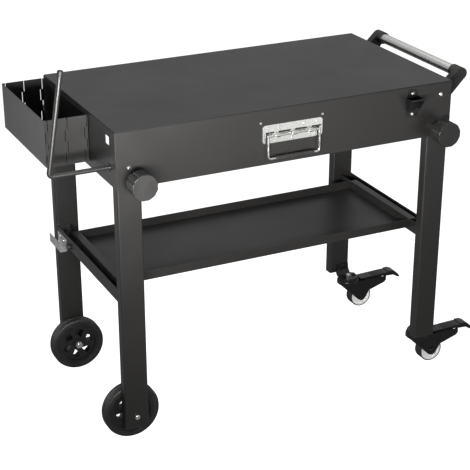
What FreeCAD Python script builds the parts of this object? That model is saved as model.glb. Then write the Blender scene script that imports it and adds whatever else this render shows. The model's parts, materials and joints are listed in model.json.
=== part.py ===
import FreeCAD, Part
import math
import os

# Grill cart: a steel box top on four legs, with a lift-off shelf tray, a hanging caddy,
# two fixed wheels on the left and two braked swivel casters on the right.
# Every part is drawn in the cart's own frame: X runs from the left end of the box to the
# right end, Y from the front face to the rear face and Z up from the ground. On saving it
# is moved so that the origin lies under the middle of the whole cart.

V = FreeCAD.Vector

# Driving sizes in mm
BOX_LENGTH = 954.4
BOX_DEPTH = 526.0
TOP_HEIGHT = 869.5
APRON_HEIGHT = 147.0
SHEET = 1.5
HAIRLINE = 0.3
RUNNING = 0.06
LID_SETBACK = 0.5
LID_SEAM = 1.0
SKIRT_DEPTH = 9.0
HEM = 10.0

LEG_WIDTH = 65.0
LEG_THICKNESS = 31.0
LEG_WALL = 2.0
LEG_CORNER = 5.0
LEG_END_GAP = SHEET + HAIRLINE
LEG_FACE_GAP = 3.4
LEFT_LEG_BOTTOM = 45.0
RIGHT_LEG_BOTTOM = 113.0

BIG_WHEEL_RADIUS = 77.0
BIG_WHEEL_WIDTH = 34.0
CASTER_RADIUS = 35.5
CASTER_WIDTH = 32.0
CASTER_TRAIL = 41.0

SHELF_TOP = 444.0
SHELF_DEPTH = 24.5
SHELF_INSET = 98.0
RAIL_LEFT = 3.5
RAIL_WIDTH = 38.4
RAIL_TOP = SHELF_TOP - SHEET - HAIRLINE
RAIL_BOTTOM = 407.7

CADDY_WIDTH = 113.5
CADDY_BOTTOM = 738.0
CADDY_TOP = 860.0
CADDY_FRONT = 181.0

ROD_RADIUS = 6.0
ROD_REACH = 153.5
ROD_LEAN = 43.5
ROD_TOP = 1021.0
ROD_Y = 46.0
ROD_Z = 767.0
ROD_BEND = 9.0

KNOB_RADIUS = 33.5
KNOB_PROJECTION = 72.0
KNOB_DEPTH = 40.0

GRIP_RADIUS = 13.5
ELBOW_RADIUS = 17.0
HANDLE_INSET = 46.0
HANDLE_REACH = 61.0

PEDAL_TIP = 1118.5

# Places that follow from the driving sizes
APRON_BOTTOM = TOP_HEIGHT - APRON_HEIGHT
APRON_TOP = TOP_HEIGHT - SHEET - LID_SEAM
SKIRT_BOTTOM = APRON_TOP - SKIRT_DEPTH
MID_DEPTH = BOX_DEPTH / 2
MID_LENGTH = BOX_LENGTH / 2
LEG_FRONT = LEG_FACE_GAP
LEG_BACK = LEG_FACE_GAP + LEG_THICKNESS
LEFT_LEG_X = LEG_END_GAP + LEG_WIDTH / 2
RIGHT_LEG_X = BOX_LENGTH - LEFT_LEG_X
LEFT_PIVOT_Z = 775.0
RIGHT_PIVOT_Z = LEFT_PIVOT_Z + 61.0
KNOB_INSET = 46.5
KNOB_Z = 746.0
ROD_HALF_TURN = math.atan2(ROD_TOP - ROD_Z, ROD_LEAN) / 2
ROD_SETBACK = ROD_BEND / math.tan(ROD_HALF_TURN)
ROD_LEFT = ROD_SETBACK - ROD_REACH - ROD_BEND - ROD_RADIUS
CENTRE_X = (PEDAL_TIP + ROD_LEFT) / 2


# Shape helpers

def box(x0, x1, y0, y1, z0, z1):
    return Part.makeBox(x1 - x0, y1 - y0, z1 - z0, V(x0, y0, z0))


def rod_x(x0, x1, y, z, radius):
    return Part.makeCylinder(radius, x1 - x0, V(x0, y, z), V(1, 0, 0))


def rod_y(x, y0, y1, z, radius):
    return Part.makeCylinder(radius, y1 - y0, V(x, y0, z), V(0, 1, 0))


def rod_z(x, y, z0, z1, radius):
    return Part.makeCylinder(radius, z1 - z0, V(x, y, z0), V(0, 0, 1))


def prism_xz(points, y0, y1):
    face = Part.Face(Part.makePolygon([V(x, y0, z) for x, z in points + points[:1]]))
    return face.extrude(V(0, y1 - y0, 0))


def prism_yz(points, x0, x1):
    face = Part.Face(Part.makePolygon([V(x0, y, z) for y, z in points + points[:1]]))
    return face.extrude(V(x1 - x0, 0, 0))


def prism_xy(points, z0, z1):
    face = Part.Face(Part.makePolygon([V(x, y, z0) for x, y in points + points[:1]]))
    return face.extrude(V(0, 0, z1 - z0))


def hex_y(x, y0, y1, z, across_flats):
    corner = across_flats / math.sqrt(3)
    angles = [math.radians(60 * step) for step in range(6)]
    return prism_xz([(x + corner * math.cos(a), z + corner * math.sin(a)) for a in angles], y0, y1)


def hex_z(x, y, z0, z1, across_flats):
    corner = across_flats / math.sqrt(3)
    angles = [math.radians(60 * step) for step in range(6)]
    return prism_xy([(x + corner * math.cos(a), y + corner * math.sin(a)) for a in angles], z0, z1)


def straight_edges(shape, direction):
    """Edges of the shape that run along the given direction."""
    chosen = []
    for edge in shape.Edges:
        if isinstance(edge.Curve, Part.Line) and abs(edge.Curve.Direction.dot(direction)) > 0.999:
            chosen.append(edge)
    return chosen


def rounded(shape, direction, radius):
    return shape.makeFillet(radius, straight_edges(shape, direction))


def round_circles(shape, radius, centre_radius):
    """Fillet the circular edges whose own radius is the one given."""
    edges = [edge for edge in shape.Edges
             if isinstance(edge.Curve, Part.Circle) and abs(edge.Curve.Radius - centre_radius) < 0.01]
    return shape.makeFillet(radius, edges)


def mirror_depth(shape):
    """The same part on the other side of the cart, front to rear."""
    return shape.mirror(V(0, MID_DEPTH, 0), V(0, 1, 0))


def mirror_length(shape):
    """The same part at the other end of the cart, left to right."""
    return shape.mirror(V(MID_LENGTH, 0, 0), V(1, 0, 0))


def front_and_rear(shape):
    return [shape, mirror_depth(shape)]


def save(node, *shapes):
    """Move the shapes to the shared origin and write them as one node."""
    body = shapes[0] if len(shapes) == 1 else Part.makeCompound(list(shapes))
    moved = body.copy()
    moved.translate(V(-CENTRE_X, -MID_DEPTH, 0))
    moved.exportStep("parts/" + node + ".step")


# The box top

STIFFENER_WIDTH = 40.0
STIFFENER_DEPTH = 15.0
RETURN_FLANGE = 45.0
FLANGE_TOP = 800.0
SLOT_LENGTH = 24.0
SLOT_BOTTOM = 824.5
SLOT_TOP = 847.0
SLOT_FRONT = 39.0
PIVOT_RADIUS = 4.0
STUD_RADIUS = 4.0
HOLE_GAP = 0.3
PANEL_SPLIT = 72.0


def box_inset(inset, low, high):
    """Block over the whole box top, set in from all four sides."""
    return box(inset, BOX_LENGTH - inset, inset, BOX_DEPTH - inset, low, high)


def top_plate():
    """Flat lid with a welded skirt that drops inside the aprons; a narrow seam stays open below it."""
    under = TOP_HEIGHT - SHEET
    lid = rounded(box_inset(LID_SETBACK, under, TOP_HEIGHT), V(0, 0, 1), 4.0)
    top_rim = [e for e in lid.Edges if e.BoundBox.ZMin > TOP_HEIGHT - 0.01]
    lid = lid.makeFillet(SHEET / 2, top_rim)
    skirt = box_inset(SHEET, SKIRT_BOTTOM, under).cut(box_inset(2 * SHEET, SKIRT_BOTTOM - 1, under + 1))
    return lid.fuse(skirt).removeSplitter()


def top_stiffeners():
    """Three hat channels welded across the underside of the top."""
    under = TOP_HEIGHT - SHEET
    half = STIFFENER_WIDTH / 2
    hats = []
    for share in (0.25, 0.5, 0.75):
        x = BOX_LENGTH * share
        hat = box(x - half, x + half, 4, BOX_DEPTH - 4, under - STIFFENER_DEPTH, under)
        hats.append(hat.cut(box(x - half + SHEET, x + half - SHEET, 3, BOX_DEPTH - 3,
                                under - STIFFENER_DEPTH + SHEET, under + 1)))
    return hats


def apron_holes():
    """Pivot bolt and knob stud holes through an apron, leg side included."""
    pivot = PIVOT_RADIUS + HOLE_GAP
    stud = STUD_RADIUS + HOLE_GAP
    return [
        rod_y(LEFT_LEG_X, -1, LEG_FRONT, LEFT_PIVOT_Z, pivot),
        rod_y(RIGHT_LEG_X, -1, LEG_FRONT, RIGHT_PIVOT_Z, pivot),
        rod_y(KNOB_INSET, -1, LEG_FRONT, KNOB_Z, stud),
        rod_y(BOX_LENGTH - KNOB_INSET, -1, LEG_FRONT, KNOB_Z, stud),
    ]


def apron():
    """Front apron: face sheet, folded hem at the bottom and a return flange round each corner."""
    sheet = box(0, BOX_LENGTH, 0, SHEET, APRON_BOTTOM, APRON_TOP)
    hem = box(SHEET, BOX_LENGTH - SHEET, SHEET, 2 * SHEET, APRON_BOTTOM, APRON_BOTTOM + HEM)
    flange = box(0, SHEET, SHEET, RETURN_FLANGE, APRON_BOTTOM, FLANGE_TOP)
    body = sheet.fuse([hem, flange, mirror_length(flange)]).removeSplitter()
    corners = [e for e in straight_edges(body, V(0, 0, 1))
               if e.BoundBox.YMax < 0.01 and e.BoundBox.ZMin < FLANGE_TOP]
    return body.makeFillet(1.2, corners).cut(apron_holes())


def end_panel_sheet():
    """Left end panel, notched at both ends for the return flanges of the aprons."""
    near = SHEET + HAIRLINE
    notch = RETURN_FLANGE + HAIRLINE
    step = FLANGE_TOP + HAIRLINE
    outline = [(near, APRON_TOP), (near, step), (notch, step), (notch, APRON_BOTTOM),
               (BOX_DEPTH - notch, APRON_BOTTOM), (BOX_DEPTH - notch, step),
               (BOX_DEPTH - near, step), (BOX_DEPTH - near, APRON_TOP)]
    sheet = prism_yz(outline, 0, SHEET)
    hem = box(SHEET, 2 * SHEET, PANEL_SPLIT, BOX_DEPTH - PANEL_SPLIT, APRON_BOTTOM, APRON_BOTTOM + HEM)
    return sheet.fuse(hem).removeSplitter()


def slot_starts():
    """Front edges of the three hook slots in the left end panel."""
    last = BOX_DEPTH - SLOT_FRONT - SLOT_LENGTH
    return [SLOT_FRONT, (SLOT_FRONT + last) / 2, last]


def left_end_panel():
    panel = end_panel_sheet()
    for start in slot_starts():
        slot = box(-1, 2 * SHEET, start, start + SLOT_LENGTH, SLOT_BOTTOM, SLOT_TOP)
        panel = panel.cut(rounded(slot, V(1, 0, 0), 1.5))
    return panel.cut(rod_hole())


def left_end_sheets():
    """The left end panel as two welded sheets: a short one round the front slot and the long rest."""
    corner = box(-1, 3 * SHEET, -1, PANEL_SPLIT, APRON_BOTTOM - 1, APRON_TOP + 1)
    panel = left_end_panel()
    return panel.common(corner), panel.cut(corner)


def right_end_panel():
    panel = mirror_length(end_panel_sheet())
    return panel.cut(handle_screw_holes())


# Legs

AXLE_RADIUS = 6.0
RAIL_BOLT_X = 25.0
RAIL_BOLT_Z = 425.0
RAIL_BOLT_RADIUS = 3.0
BRACKET_BOLT_X = 935.0
BRACKET_BOLT_Z = 132.0
BRACKET_BOLT_RADIUS = 4.0


def leg(x, bottom, top):
    """Front leg: a rounded rectangular tube, open at both ends."""
    half = LEG_WIDTH / 2
    outer = rounded(box(x - half, x + half, LEG_FRONT, LEG_BACK, bottom, top), V(0, 0, 1), LEG_CORNER)
    inner = box(x - half + LEG_WALL, x + half - LEG_WALL, LEG_FRONT + LEG_WALL, LEG_BACK - LEG_WALL,
                bottom - 1, top + 1)
    return outer.cut(rounded(inner, V(0, 0, 1), LEG_CORNER - LEG_WALL))


PLUG_FLANGE = 3.0


def knob_bore(x):
    return rod_y(x, LEG_FRONT - 1, LEG_FRONT + LEG_WALL + 1, KNOB_Z, STUD_RADIUS + HOLE_GAP)


def left_leg():
    top = LEFT_PIVOT_Z + LEG_WIDTH / 2
    tube = leg(LEFT_LEG_X, LEFT_LEG_BOTTOM + PLUG_FLANGE, top)
    holes = [
        rod_y(LEFT_LEG_X, LEG_FRONT - 1, LEG_BACK + 1, LEFT_PIVOT_Z, PIVOT_RADIUS + HOLE_GAP),
        rod_y(LEFT_LEG_X, LEG_FRONT - 1, LEG_BACK + 1, BIG_WHEEL_RADIUS, AXLE_RADIUS + HOLE_GAP),
        rod_y(RAIL_BOLT_X, LEG_BACK - LEG_WALL - 1, LEG_BACK + 1, RAIL_BOLT_Z, RAIL_BOLT_RADIUS + HOLE_GAP),
        knob_bore(KNOB_INSET),
    ]
    return tube.cut(holes)


def right_leg():
    top = SKIRT_BOTTOM - 1
    tube = leg(RIGHT_LEG_X, RIGHT_LEG_BOTTOM + PLUG_FLANGE, top)
    holes = [
        rod_y(RIGHT_LEG_X, LEG_FRONT - 1, LEG_BACK + 1, RIGHT_PIVOT_Z, PIVOT_RADIUS + HOLE_GAP),
        rod_y(BOX_LENGTH - RAIL_BOLT_X, LEG_BACK - LEG_WALL - 1, LEG_BACK + 1, RAIL_BOLT_Z,
              RAIL_BOLT_RADIUS + HOLE_GAP),
        rod_y(BRACKET_BOLT_X, LEG_BACK - LEG_WALL - 1, LEG_BACK + 1, BRACKET_BOLT_Z,
              BRACKET_BOLT_RADIUS + HOLE_GAP),
        knob_bore(BOX_LENGTH - KNOB_INSET),
    ]
    return tube.cut(holes)


def leg_plug(x, bottom):
    """Plastic end plug: a flange under the tube and a body inside it."""
    half = LEG_WIDTH / 2
    flange = box(x - half, x + half, LEG_FRONT, LEG_BACK, bottom, bottom + PLUG_FLANGE)
    flange = rounded(flange, V(0, 0, 1), LEG_CORNER)
    side = LEG_WALL + 0.1
    body = box(x - half + side, x + half - side, LEG_FRONT + side, LEG_BACK - side,
               bottom + PLUG_FLANGE, bottom + PLUG_FLANGE + 12)
    return flange.fuse(rounded(body, V(0, 0, 1), LEG_CORNER - LEG_WALL)).removeSplitter()


def leg_plugs():
    return front_and_rear(leg_plug(LEFT_LEG_X, LEFT_LEG_BOTTOM)) + \
        front_and_rear(leg_plug(RIGHT_LEG_X, RIGHT_LEG_BOTTOM))


def domed_head(x, y, z, radius, height):
    """Round screw head on a face at y, bulging to the front."""
    head = rod_y(x, y - height, y, z, radius)
    front = [e for e in head.Edges if e.BoundBox.YMax < y - height + 0.01]
    return head.makeFillet(height * 0.7, front)


def pivot_bolt(x, z):
    shank = rod_y(x, 0, LEG_BACK + 9, z, PIVOT_RADIUS)
    return domed_head(x, 0, z, PIVOT_RADIUS + 1.5, 3.0).fuse(shank)


def pivot_nut(x, z):
    return hex_y(x, LEG_BACK, LEG_BACK + 7, z, 14).cut(rod_y(x, 0, 60, z, PIVOT_RADIUS))


def pivot_washer(x, z):
    return rod_y(x, SHEET, LEG_FRONT, z, 12).cut(rod_y(x, 0, 60, z, PIVOT_RADIUS))


PIVOTS = [(LEFT_LEG_X, LEFT_PIVOT_Z), (RIGHT_LEG_X, RIGHT_PIVOT_Z)]


def pivot_parts(maker):
    parts = []
    for x, z in PIVOTS:
        parts += front_and_rear(maker(x, z))
    return parts


# Knobs that lock the legs

KNOB_LOBES = 12
SCALLOP_RADIUS = 5.0
SCALLOP_DEPTH = 1.6
NECK_WIDE = 20.0
NECK_NARROW = 16.0
STUD_START = -20.0


def knob():
    """Hand knob of the front left leg: lobed grip, neck and flat face."""
    outer = -KNOB_PROJECTION
    inner = outer + KNOB_DEPTH
    grip = rod_y(KNOB_INSET, outer, inner, KNOB_Z, KNOB_RADIUS)
    grip = round_circles(grip, 2.0, KNOB_RADIUS)
    reach = KNOB_RADIUS + SCALLOP_RADIUS - SCALLOP_DEPTH
    for step in range(KNOB_LOBES):
        angle = 2 * math.pi * step / KNOB_LOBES
        x = KNOB_INSET + reach * math.cos(angle)
        z = KNOB_Z + reach * math.sin(angle)
        grip = grip.cut(rod_y(x, outer - 1, inner + 1, z, SCALLOP_RADIUS))
    neck = Part.makeCone(NECK_WIDE, NECK_NARROW, -HAIRLINE - inner, V(KNOB_INSET, inner, KNOB_Z), V(0, 1, 0))
    body = grip.fuse(neck)
    return body.cut(rod_y(KNOB_INSET, STUD_START, 0, KNOB_Z, STUD_RADIUS))


def knob_stud():
    return rod_y(KNOB_INSET, STUD_START, LEG_FRONT + LEG_WALL + 14, KNOB_Z, STUD_RADIUS)


def knob_insert():
    """Threaded insert welded inside the leg behind the stud hole."""
    start = LEG_FRONT + LEG_WALL
    insert = hex_y(KNOB_INSET, start, start + 10, KNOB_Z, 16)
    return insert.cut(rod_y(KNOB_INSET, 0, 60, KNOB_Z, STUD_RADIUS + RUNNING))


# Big wheels

SPACER_LENGTH = 2.4
WHEEL_FRONT = LEG_BACK + SPACER_LENGTH + HAIRLINE
WHEEL_BACK = WHEEL_FRONT + BIG_WHEEL_WIDTH
WHEEL_MIDDLE = (WHEEL_FRONT + WHEEL_BACK) / 2
TYRE_INNER = 61.0
RIM_INNER = 52.0
DISC_HALF = 11.0
BOSS_RADIUS = 13.0
BLADES = 6
BLADE_LEAN = 24.0
BLADE_NEAR = 19.0
BLADE_FAR = 45.0
BLADE_TIP_TURN = 0.36
BLADE_HEEL_TURN = 0.26


def at_left_axle(shape):
    """Move a wheel part drawn about the origin, axis along Y, to the front left axle."""
    shape.translate(V(LEFT_LEG_X, WHEEL_MIDDLE, BIG_WHEEL_RADIUS))
    return shape


def ring_y(outer, inner, half_width):
    return rod_y(0, -half_width, half_width, 0, outer).cut(rod_y(0, -half_width - 1, half_width + 1, 0, inner))


def big_tyre():
    half = BIG_WHEEL_WIDTH / 2
    tyre = rod_y(0, -half, half, 0, BIG_WHEEL_RADIUS)
    tyre = round_circles(tyre, 5.0, BIG_WHEEL_RADIUS)
    return at_left_axle(tyre.cut(rod_y(0, -half - 1, half + 1, 0, TYRE_INNER)))


def blade_opening(step):
    """One swirl opening in the wheel disc, a four-sided hole that leans with the rotation."""
    start = 2 * math.pi * step / BLADES
    tip = start + math.radians(BLADE_LEAN)
    corners = [(BLADE_NEAR, start), (BLADE_FAR, tip - BLADE_TIP_TURN), (BLADE_FAR, tip),
               (0.82 * BLADE_FAR, tip + BLADE_HEEL_TURN)]
    points = [(reach * math.cos(angle), reach * math.sin(angle)) for reach, angle in corners]
    opening = prism_xz(points, -BIG_WHEEL_WIDTH, BIG_WHEEL_WIDTH)
    return rounded(opening, V(0, 1, 0), 1.5)


def big_hub():
    """Wheel centre: outer ring, deep disc with six openings and a boss on the axle."""
    half = BIG_WHEEL_WIDTH / 2
    ring = ring_y(TYRE_INNER, RIM_INNER, half - 1)
    disc = rod_y(0, -DISC_HALF, DISC_HALF, 0, RIM_INNER + 1)
    for step in range(BLADES):
        disc = disc.cut(blade_opening(step))
    boss = rod_y(0, -half, half, 0, BOSS_RADIUS)
    hub = ring.fuse([disc, boss]).removeSplitter()
    return at_left_axle(hub.cut(rod_y(0, -half - 1, half + 1, 0, AXLE_RADIUS + RUNNING)))


def axle_bolt():
    head = domed_head(LEFT_LEG_X, LEG_FRONT, BIG_WHEEL_RADIUS, 7.0, 3.5)
    return head.fuse(rod_y(LEFT_LEG_X, LEG_FRONT, WHEEL_BACK + 10, BIG_WHEEL_RADIUS, AXLE_RADIUS))


def axle_nut():
    start = WHEEL_BACK + HAIRLINE
    nut = hex_y(LEFT_LEG_X, start, start + 7, BIG_WHEEL_RADIUS, 19)
    return nut.cut(rod_y(LEFT_LEG_X, 0, 200, BIG_WHEEL_RADIUS, AXLE_RADIUS))


def axle_spacer():
    spacer = rod_y(LEFT_LEG_X, LEG_BACK, WHEEL_FRONT - HAIRLINE, BIG_WHEEL_RADIUS, 11)
    return spacer.cut(rod_y(LEFT_LEG_X, 0, 200, BIG_WHEEL_RADIUS, AXLE_RADIUS))


# Casters

SWIVEL_X = 936.3
SWIVEL_Y = 62.3
WHEEL_X = SWIVEL_X + CASTER_TRAIL
KINGPIN_RADIUS = 5.0
RACE_RADIUS = 34.0
CROWN_TOP = 97.6
CROWN_BOTTOM = 84.0
MOUNT_BOTTOM = 98.6
MOUNT_TOP = 104.0
BRACKET_PLATE = 3.0
BRACKET_TOP = MOUNT_TOP + BRACKET_PLATE
TAB_LOW = 115.0
TAB_TOP = 141.0
FOOT_START = 46.0
FOOT_RADIUS = 29.0
FOOT_BOLT_RADIUS = 3.0
FOOT_BOLT_SPREAD = 20.0
FORK_INNER = 18.0
FORK_OUTER = 21.0
FORK_HIGH = 90.0
FORK_HEEL = SWIVEL_X - 27.0
HOUSING_END = WHEEL_X + 88.0
CASTER_AXLE_RADIUS = 4.0
PEDAL_PIN_X = WHEEL_X + 32.6
PEDAL_PIN_Z = 76.7
PEDAL_PIN_RADIUS = 2.5
STOP_PIN_X = WHEEL_X + 77.2
STOP_PIN_Z = 76.0


def caster_bracket():
    """Formed bracket: tab on the leg, slope outwards and a round foot above the swivel."""
    left, right = SWIVEL_X - FOOT_RADIUS, SWIVEL_X + FOOT_RADIUS
    tab_right = BOX_LENGTH - LEG_END_GAP
    tab_back = LEG_BACK + BRACKET_PLATE
    tab = prism_xz([(left + 3, TAB_TOP), (tab_right - 3, TAB_TOP), (tab_right, TAB_LOW), (left, TAB_LOW)],
                   LEG_BACK, tab_back)
    bend = FOOT_START + BRACKET_PLATE
    slope = prism_yz([(LEG_BACK, TAB_LOW), (tab_back, TAB_LOW + 4), (bend, BRACKET_TOP), (bend, MOUNT_TOP),
                      (FOOT_START - BRACKET_PLATE, MOUNT_TOP)], left, tab_right)
    foot = box(left, right, FOOT_START, SWIVEL_Y, MOUNT_TOP, BRACKET_TOP)
    round_end = rod_z(SWIVEL_X, SWIVEL_Y, MOUNT_TOP, BRACKET_TOP, FOOT_RADIUS)
    body = tab.fuse([slope, foot, round_end]).removeSplitter()
    holes = [rod_y(BRACKET_BOLT_X, LEG_BACK - 1, tab_back + 1, BRACKET_BOLT_Z, BRACKET_BOLT_RADIUS),
             rod_z(SWIVEL_X, SWIVEL_Y, MOUNT_TOP - 1, BRACKET_TOP + 1, KINGPIN_RADIUS)]
    for side in (-1, 1):
        holes.append(rod_z(SWIVEL_X + side * FOOT_BOLT_SPREAD, SWIVEL_Y, MOUNT_TOP - 1, BRACKET_TOP + 1,
                           FOOT_BOLT_RADIUS))
    return body.cut(holes)


def bracket_bolts():
    """One bolt into the leg and two down through the foot."""
    back = LEG_BACK + BRACKET_PLATE
    bolt = rod_y(BRACKET_BOLT_X, LEG_BACK - LEG_WALL, back, BRACKET_BOLT_Z, BRACKET_BOLT_RADIUS)
    bolts = [bolt.fuse(hex_y(BRACKET_BOLT_X, back, back + 5, BRACKET_BOLT_Z, 13))]
    for side in (-1, 1):
        x = SWIVEL_X + side * FOOT_BOLT_SPREAD
        foot = rod_z(x, SWIVEL_Y, MOUNT_BOTTOM + 1, BRACKET_TOP, FOOT_BOLT_RADIUS)
        bolts.append(foot.fuse(hex_z(x, SWIVEL_Y, BRACKET_TOP, BRACKET_TOP + 4.5, 10)))
    return bolts


def mount_disc():
    """Fixed upper race of the caster, bolted under the bracket foot."""
    disc = rod_z(SWIVEL_X, SWIVEL_Y, MOUNT_BOTTOM, MOUNT_TOP, 31)
    disc = disc.cut(rod_z(SWIVEL_X, SWIVEL_Y, MOUNT_BOTTOM - 1, MOUNT_TOP + 1, KINGPIN_RADIUS))
    for side in (-1, 1):
        x = SWIVEL_X + side * FOOT_BOLT_SPREAD
        disc = disc.cut(rod_z(x, SWIVEL_Y, MOUNT_BOTTOM + 1, MOUNT_TOP + 1, FOOT_BOLT_RADIUS))
    return disc


def kingpin():
    """Pin that carries the fork: head under the crown, nut above the bracket."""
    pin = rod_z(SWIVEL_X, SWIVEL_Y, CROWN_BOTTOM - HAIRLINE, BRACKET_TOP + 7, KINGPIN_RADIUS)
    head = rod_z(SWIVEL_X, SWIVEL_Y, CROWN_BOTTOM - HAIRLINE - 3, CROWN_BOTTOM - HAIRLINE, 9)
    nut = hex_z(SWIVEL_X, SWIVEL_Y, BRACKET_TOP, BRACKET_TOP + 5, 14)
    return pin.fuse([head, nut])


def fork_side(y0, y1):
    """One side plate of the fork with the brake housing that runs out beyond the wheel."""
    boss_radius = CASTER_RADIUS - 22
    outline = [(FORK_HEEL, FORK_HIGH), (FORK_HEEL, FORK_HIGH - 10), (FORK_HEEL + 10, FORK_HIGH - 18),
               (WHEEL_X - 12, CASTER_RADIUS - 9), (WHEEL_X, CASTER_RADIUS - boss_radius),
               (WHEEL_X + 12, CASTER_RADIUS - 7), (WHEEL_X + 26, CASTER_RADIUS + 16),
               (HOUSING_END - 6, FORK_HIGH - 21), (HOUSING_END, STOP_PIN_Z), (HOUSING_END, FORK_HIGH - 2),
               (HOUSING_END - 24, FORK_HIGH)]
    plate = prism_xz(outline, y0, y1)
    boss = rod_y(WHEEL_X, y0, y1, CASTER_RADIUS, boss_radius)
    return plate.fuse(boss).removeSplitter()


def caster_fork():
    near = fork_side(SWIVEL_Y - FORK_OUTER, SWIVEL_Y - FORK_INNER)
    far = fork_side(SWIVEL_Y + FORK_INNER, SWIVEL_Y + FORK_OUTER)
    crown = rod_z(SWIVEL_X, SWIVEL_Y, CROWN_BOTTOM, CROWN_TOP, RACE_RADIUS)
    crown = round_circles(crown, 3.0, RACE_RADIUS)
    body = crown.fuse([near, far]).removeSplitter()
    return body.cut([
        rod_z(SWIVEL_X, SWIVEL_Y, CROWN_BOTTOM - 1, CROWN_TOP + 1, KINGPIN_RADIUS + RUNNING),
        rod_y(WHEEL_X, 0, 120, CASTER_RADIUS, CASTER_AXLE_RADIUS),
        rod_y(PEDAL_PIN_X, 0, 120, PEDAL_PIN_Z, PEDAL_PIN_RADIUS),
        rod_y(STOP_PIN_X, 0, 120, STOP_PIN_Z, PEDAL_PIN_RADIUS),
    ])


def caster_pin(x, z):
    """Rivet across the fork with a low head on each side."""
    reach = FORK_OUTER + 1.5
    pin = rod_y(x, SWIVEL_Y - FORK_OUTER, SWIVEL_Y + FORK_OUTER, z, PEDAL_PIN_RADIUS)
    near = rod_y(x, SWIVEL_Y - reach, SWIVEL_Y - FORK_OUTER, z, 4.5)
    far = rod_y(x, SWIVEL_Y + FORK_OUTER, SWIVEL_Y + reach, z, 4.5)
    return pin.fuse([near, far])


def caster_pins():
    return [caster_pin(PEDAL_PIN_X, PEDAL_PIN_Z), caster_pin(STOP_PIN_X, STOP_PIN_Z)]


def caster_axle():
    reach = FORK_OUTER + 4
    axle = rod_y(WHEEL_X, SWIVEL_Y - FORK_OUTER, SWIVEL_Y + FORK_OUTER, CASTER_RADIUS, CASTER_AXLE_RADIUS)
    head = rod_y(WHEEL_X, SWIVEL_Y - reach, SWIVEL_Y - FORK_OUTER, CASTER_RADIUS, 9)
    nut = hex_y(WHEEL_X, SWIVEL_Y + FORK_OUTER, SWIVEL_Y + reach, CASTER_RADIUS, 13)
    return axle.fuse([round_circles(head, 1.5, 9), nut])


def at_caster_axle(shape):
    shape.translate(V(WHEEL_X, SWIVEL_Y, CASTER_RADIUS))
    return shape


CORE_RADIUS = 32.0


def caster_tread():
    half = CASTER_WIDTH / 2
    tread = round_circles(rod_y(0, -half, half, 0, CASTER_RADIUS), 2.5, CASTER_RADIUS)
    return at_caster_axle(tread.cut(rod_y(0, -half - 1, half + 1, 0, CORE_RADIUS)))


def caster_core():
    """Wheel centre: rim, recessed disc and hub."""
    half = CASTER_WIDTH / 2
    rim = ring_y(CORE_RADIUS, 27.0, half - 0.5)
    disc = rod_y(0, -half + 3, half - 3, 0, 28.0)
    hub = rod_y(0, -FORK_INNER + HAIRLINE, FORK_INNER - HAIRLINE, 0, 9.0)
    core = rim.fuse([disc, hub]).removeSplitter()
    return at_caster_axle(core.cut(rod_y(0, -20, 20, 0, CASTER_AXLE_RADIUS + RUNNING)))


PEDAL_TOP = 96.0
PEDAL_PLATE = 3.0
PEDAL_HALF = 16.5
PEDAL_SKIRT = 2.0
PEDAL_START = WHEEL_X - 2.5
TOE_START = PEDAL_TIP - 45.0
TOE_STEP = 3.0


def pedal_plate():
    """Outline of the pedal plate from the side: flat run, raised toe pad and drooping tip."""
    return [(PEDAL_START, PEDAL_TOP - PEDAL_PLATE), (PEDAL_START, PEDAL_TOP), (STOP_PIN_X, PEDAL_TOP + 2),
            (TOE_START, PEDAL_TOP + 2), (TOE_START + 2, PEDAL_TOP + 2 + TOE_STEP),
            (PEDAL_TIP - 30, PEDAL_TOP + 2 + TOE_STEP), (PEDAL_TIP - 18, PEDAL_TOP), (PEDAL_TIP - 6, PEDAL_TOP - 11),
            (PEDAL_TIP, PEDAL_TOP - 21), (PEDAL_TIP - 3, PEDAL_TOP - 22), (PEDAL_TIP - 9, PEDAL_TOP - 14),
            (PEDAL_TIP - 20, PEDAL_TOP - 4), (PEDAL_TIP - 31, PEDAL_TOP), (STOP_PIN_X, PEDAL_TOP - 1)]


def pedal_skirt():
    """Outline of one side skirt: deep at the pin and shallower out to the tip."""
    low = PEDAL_PIN_Z - 7
    return [(PEDAL_START + 12, PEDAL_TOP - PEDAL_PLATE + 1), (PEDAL_PIN_X - 14, low), (PEDAL_PIN_X + 14, low - 1),
            (HOUSING_END, PEDAL_TOP - 9), (PEDAL_TIP - 24, PEDAL_TOP - 11), (PEDAL_TIP - 8, PEDAL_TOP - 21),
            (PEDAL_TIP - 3, PEDAL_TOP - 21), (PEDAL_TIP - 9, PEDAL_TOP - 12), (PEDAL_TIP - 20, PEDAL_TOP - 2),
            (PEDAL_TIP - 31, PEDAL_TOP + 1), (STOP_PIN_X, PEDAL_TOP)]


def brake_pedal():
    """Foot pedal: plate with a drooping tip, two skirts on the pin and the brake shoe."""
    y0, y1 = SWIVEL_Y - PEDAL_HALF, SWIVEL_Y + PEDAL_HALF
    plate = prism_xz(pedal_plate(), y0, y1)
    skirts = [prism_xz(pedal_skirt(), start, start + PEDAL_SKIRT) for start in (y0, y1 - PEDAL_SKIRT)]
    shoe_high = PEDAL_PIN_Z - 3
    shoe = prism_xz([(PEDAL_PIN_X - 6, shoe_high), (PEDAL_PIN_X - 8, shoe_high - 8), (PEDAL_PIN_X, shoe_high - 18),
                     (PEDAL_PIN_X + 5, shoe_high - 12), (PEDAL_PIN_X + 5, shoe_high)], y0, y1)
    body = plate.fuse(skirts + [shoe]).removeSplitter()
    pin_hole = rod_y(PEDAL_PIN_X, 0, 2 * SWIVEL_Y, PEDAL_PIN_Z, PEDAL_PIN_RADIUS + RUNNING)
    return body.cut([pin_hole, stop_slot()])


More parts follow.
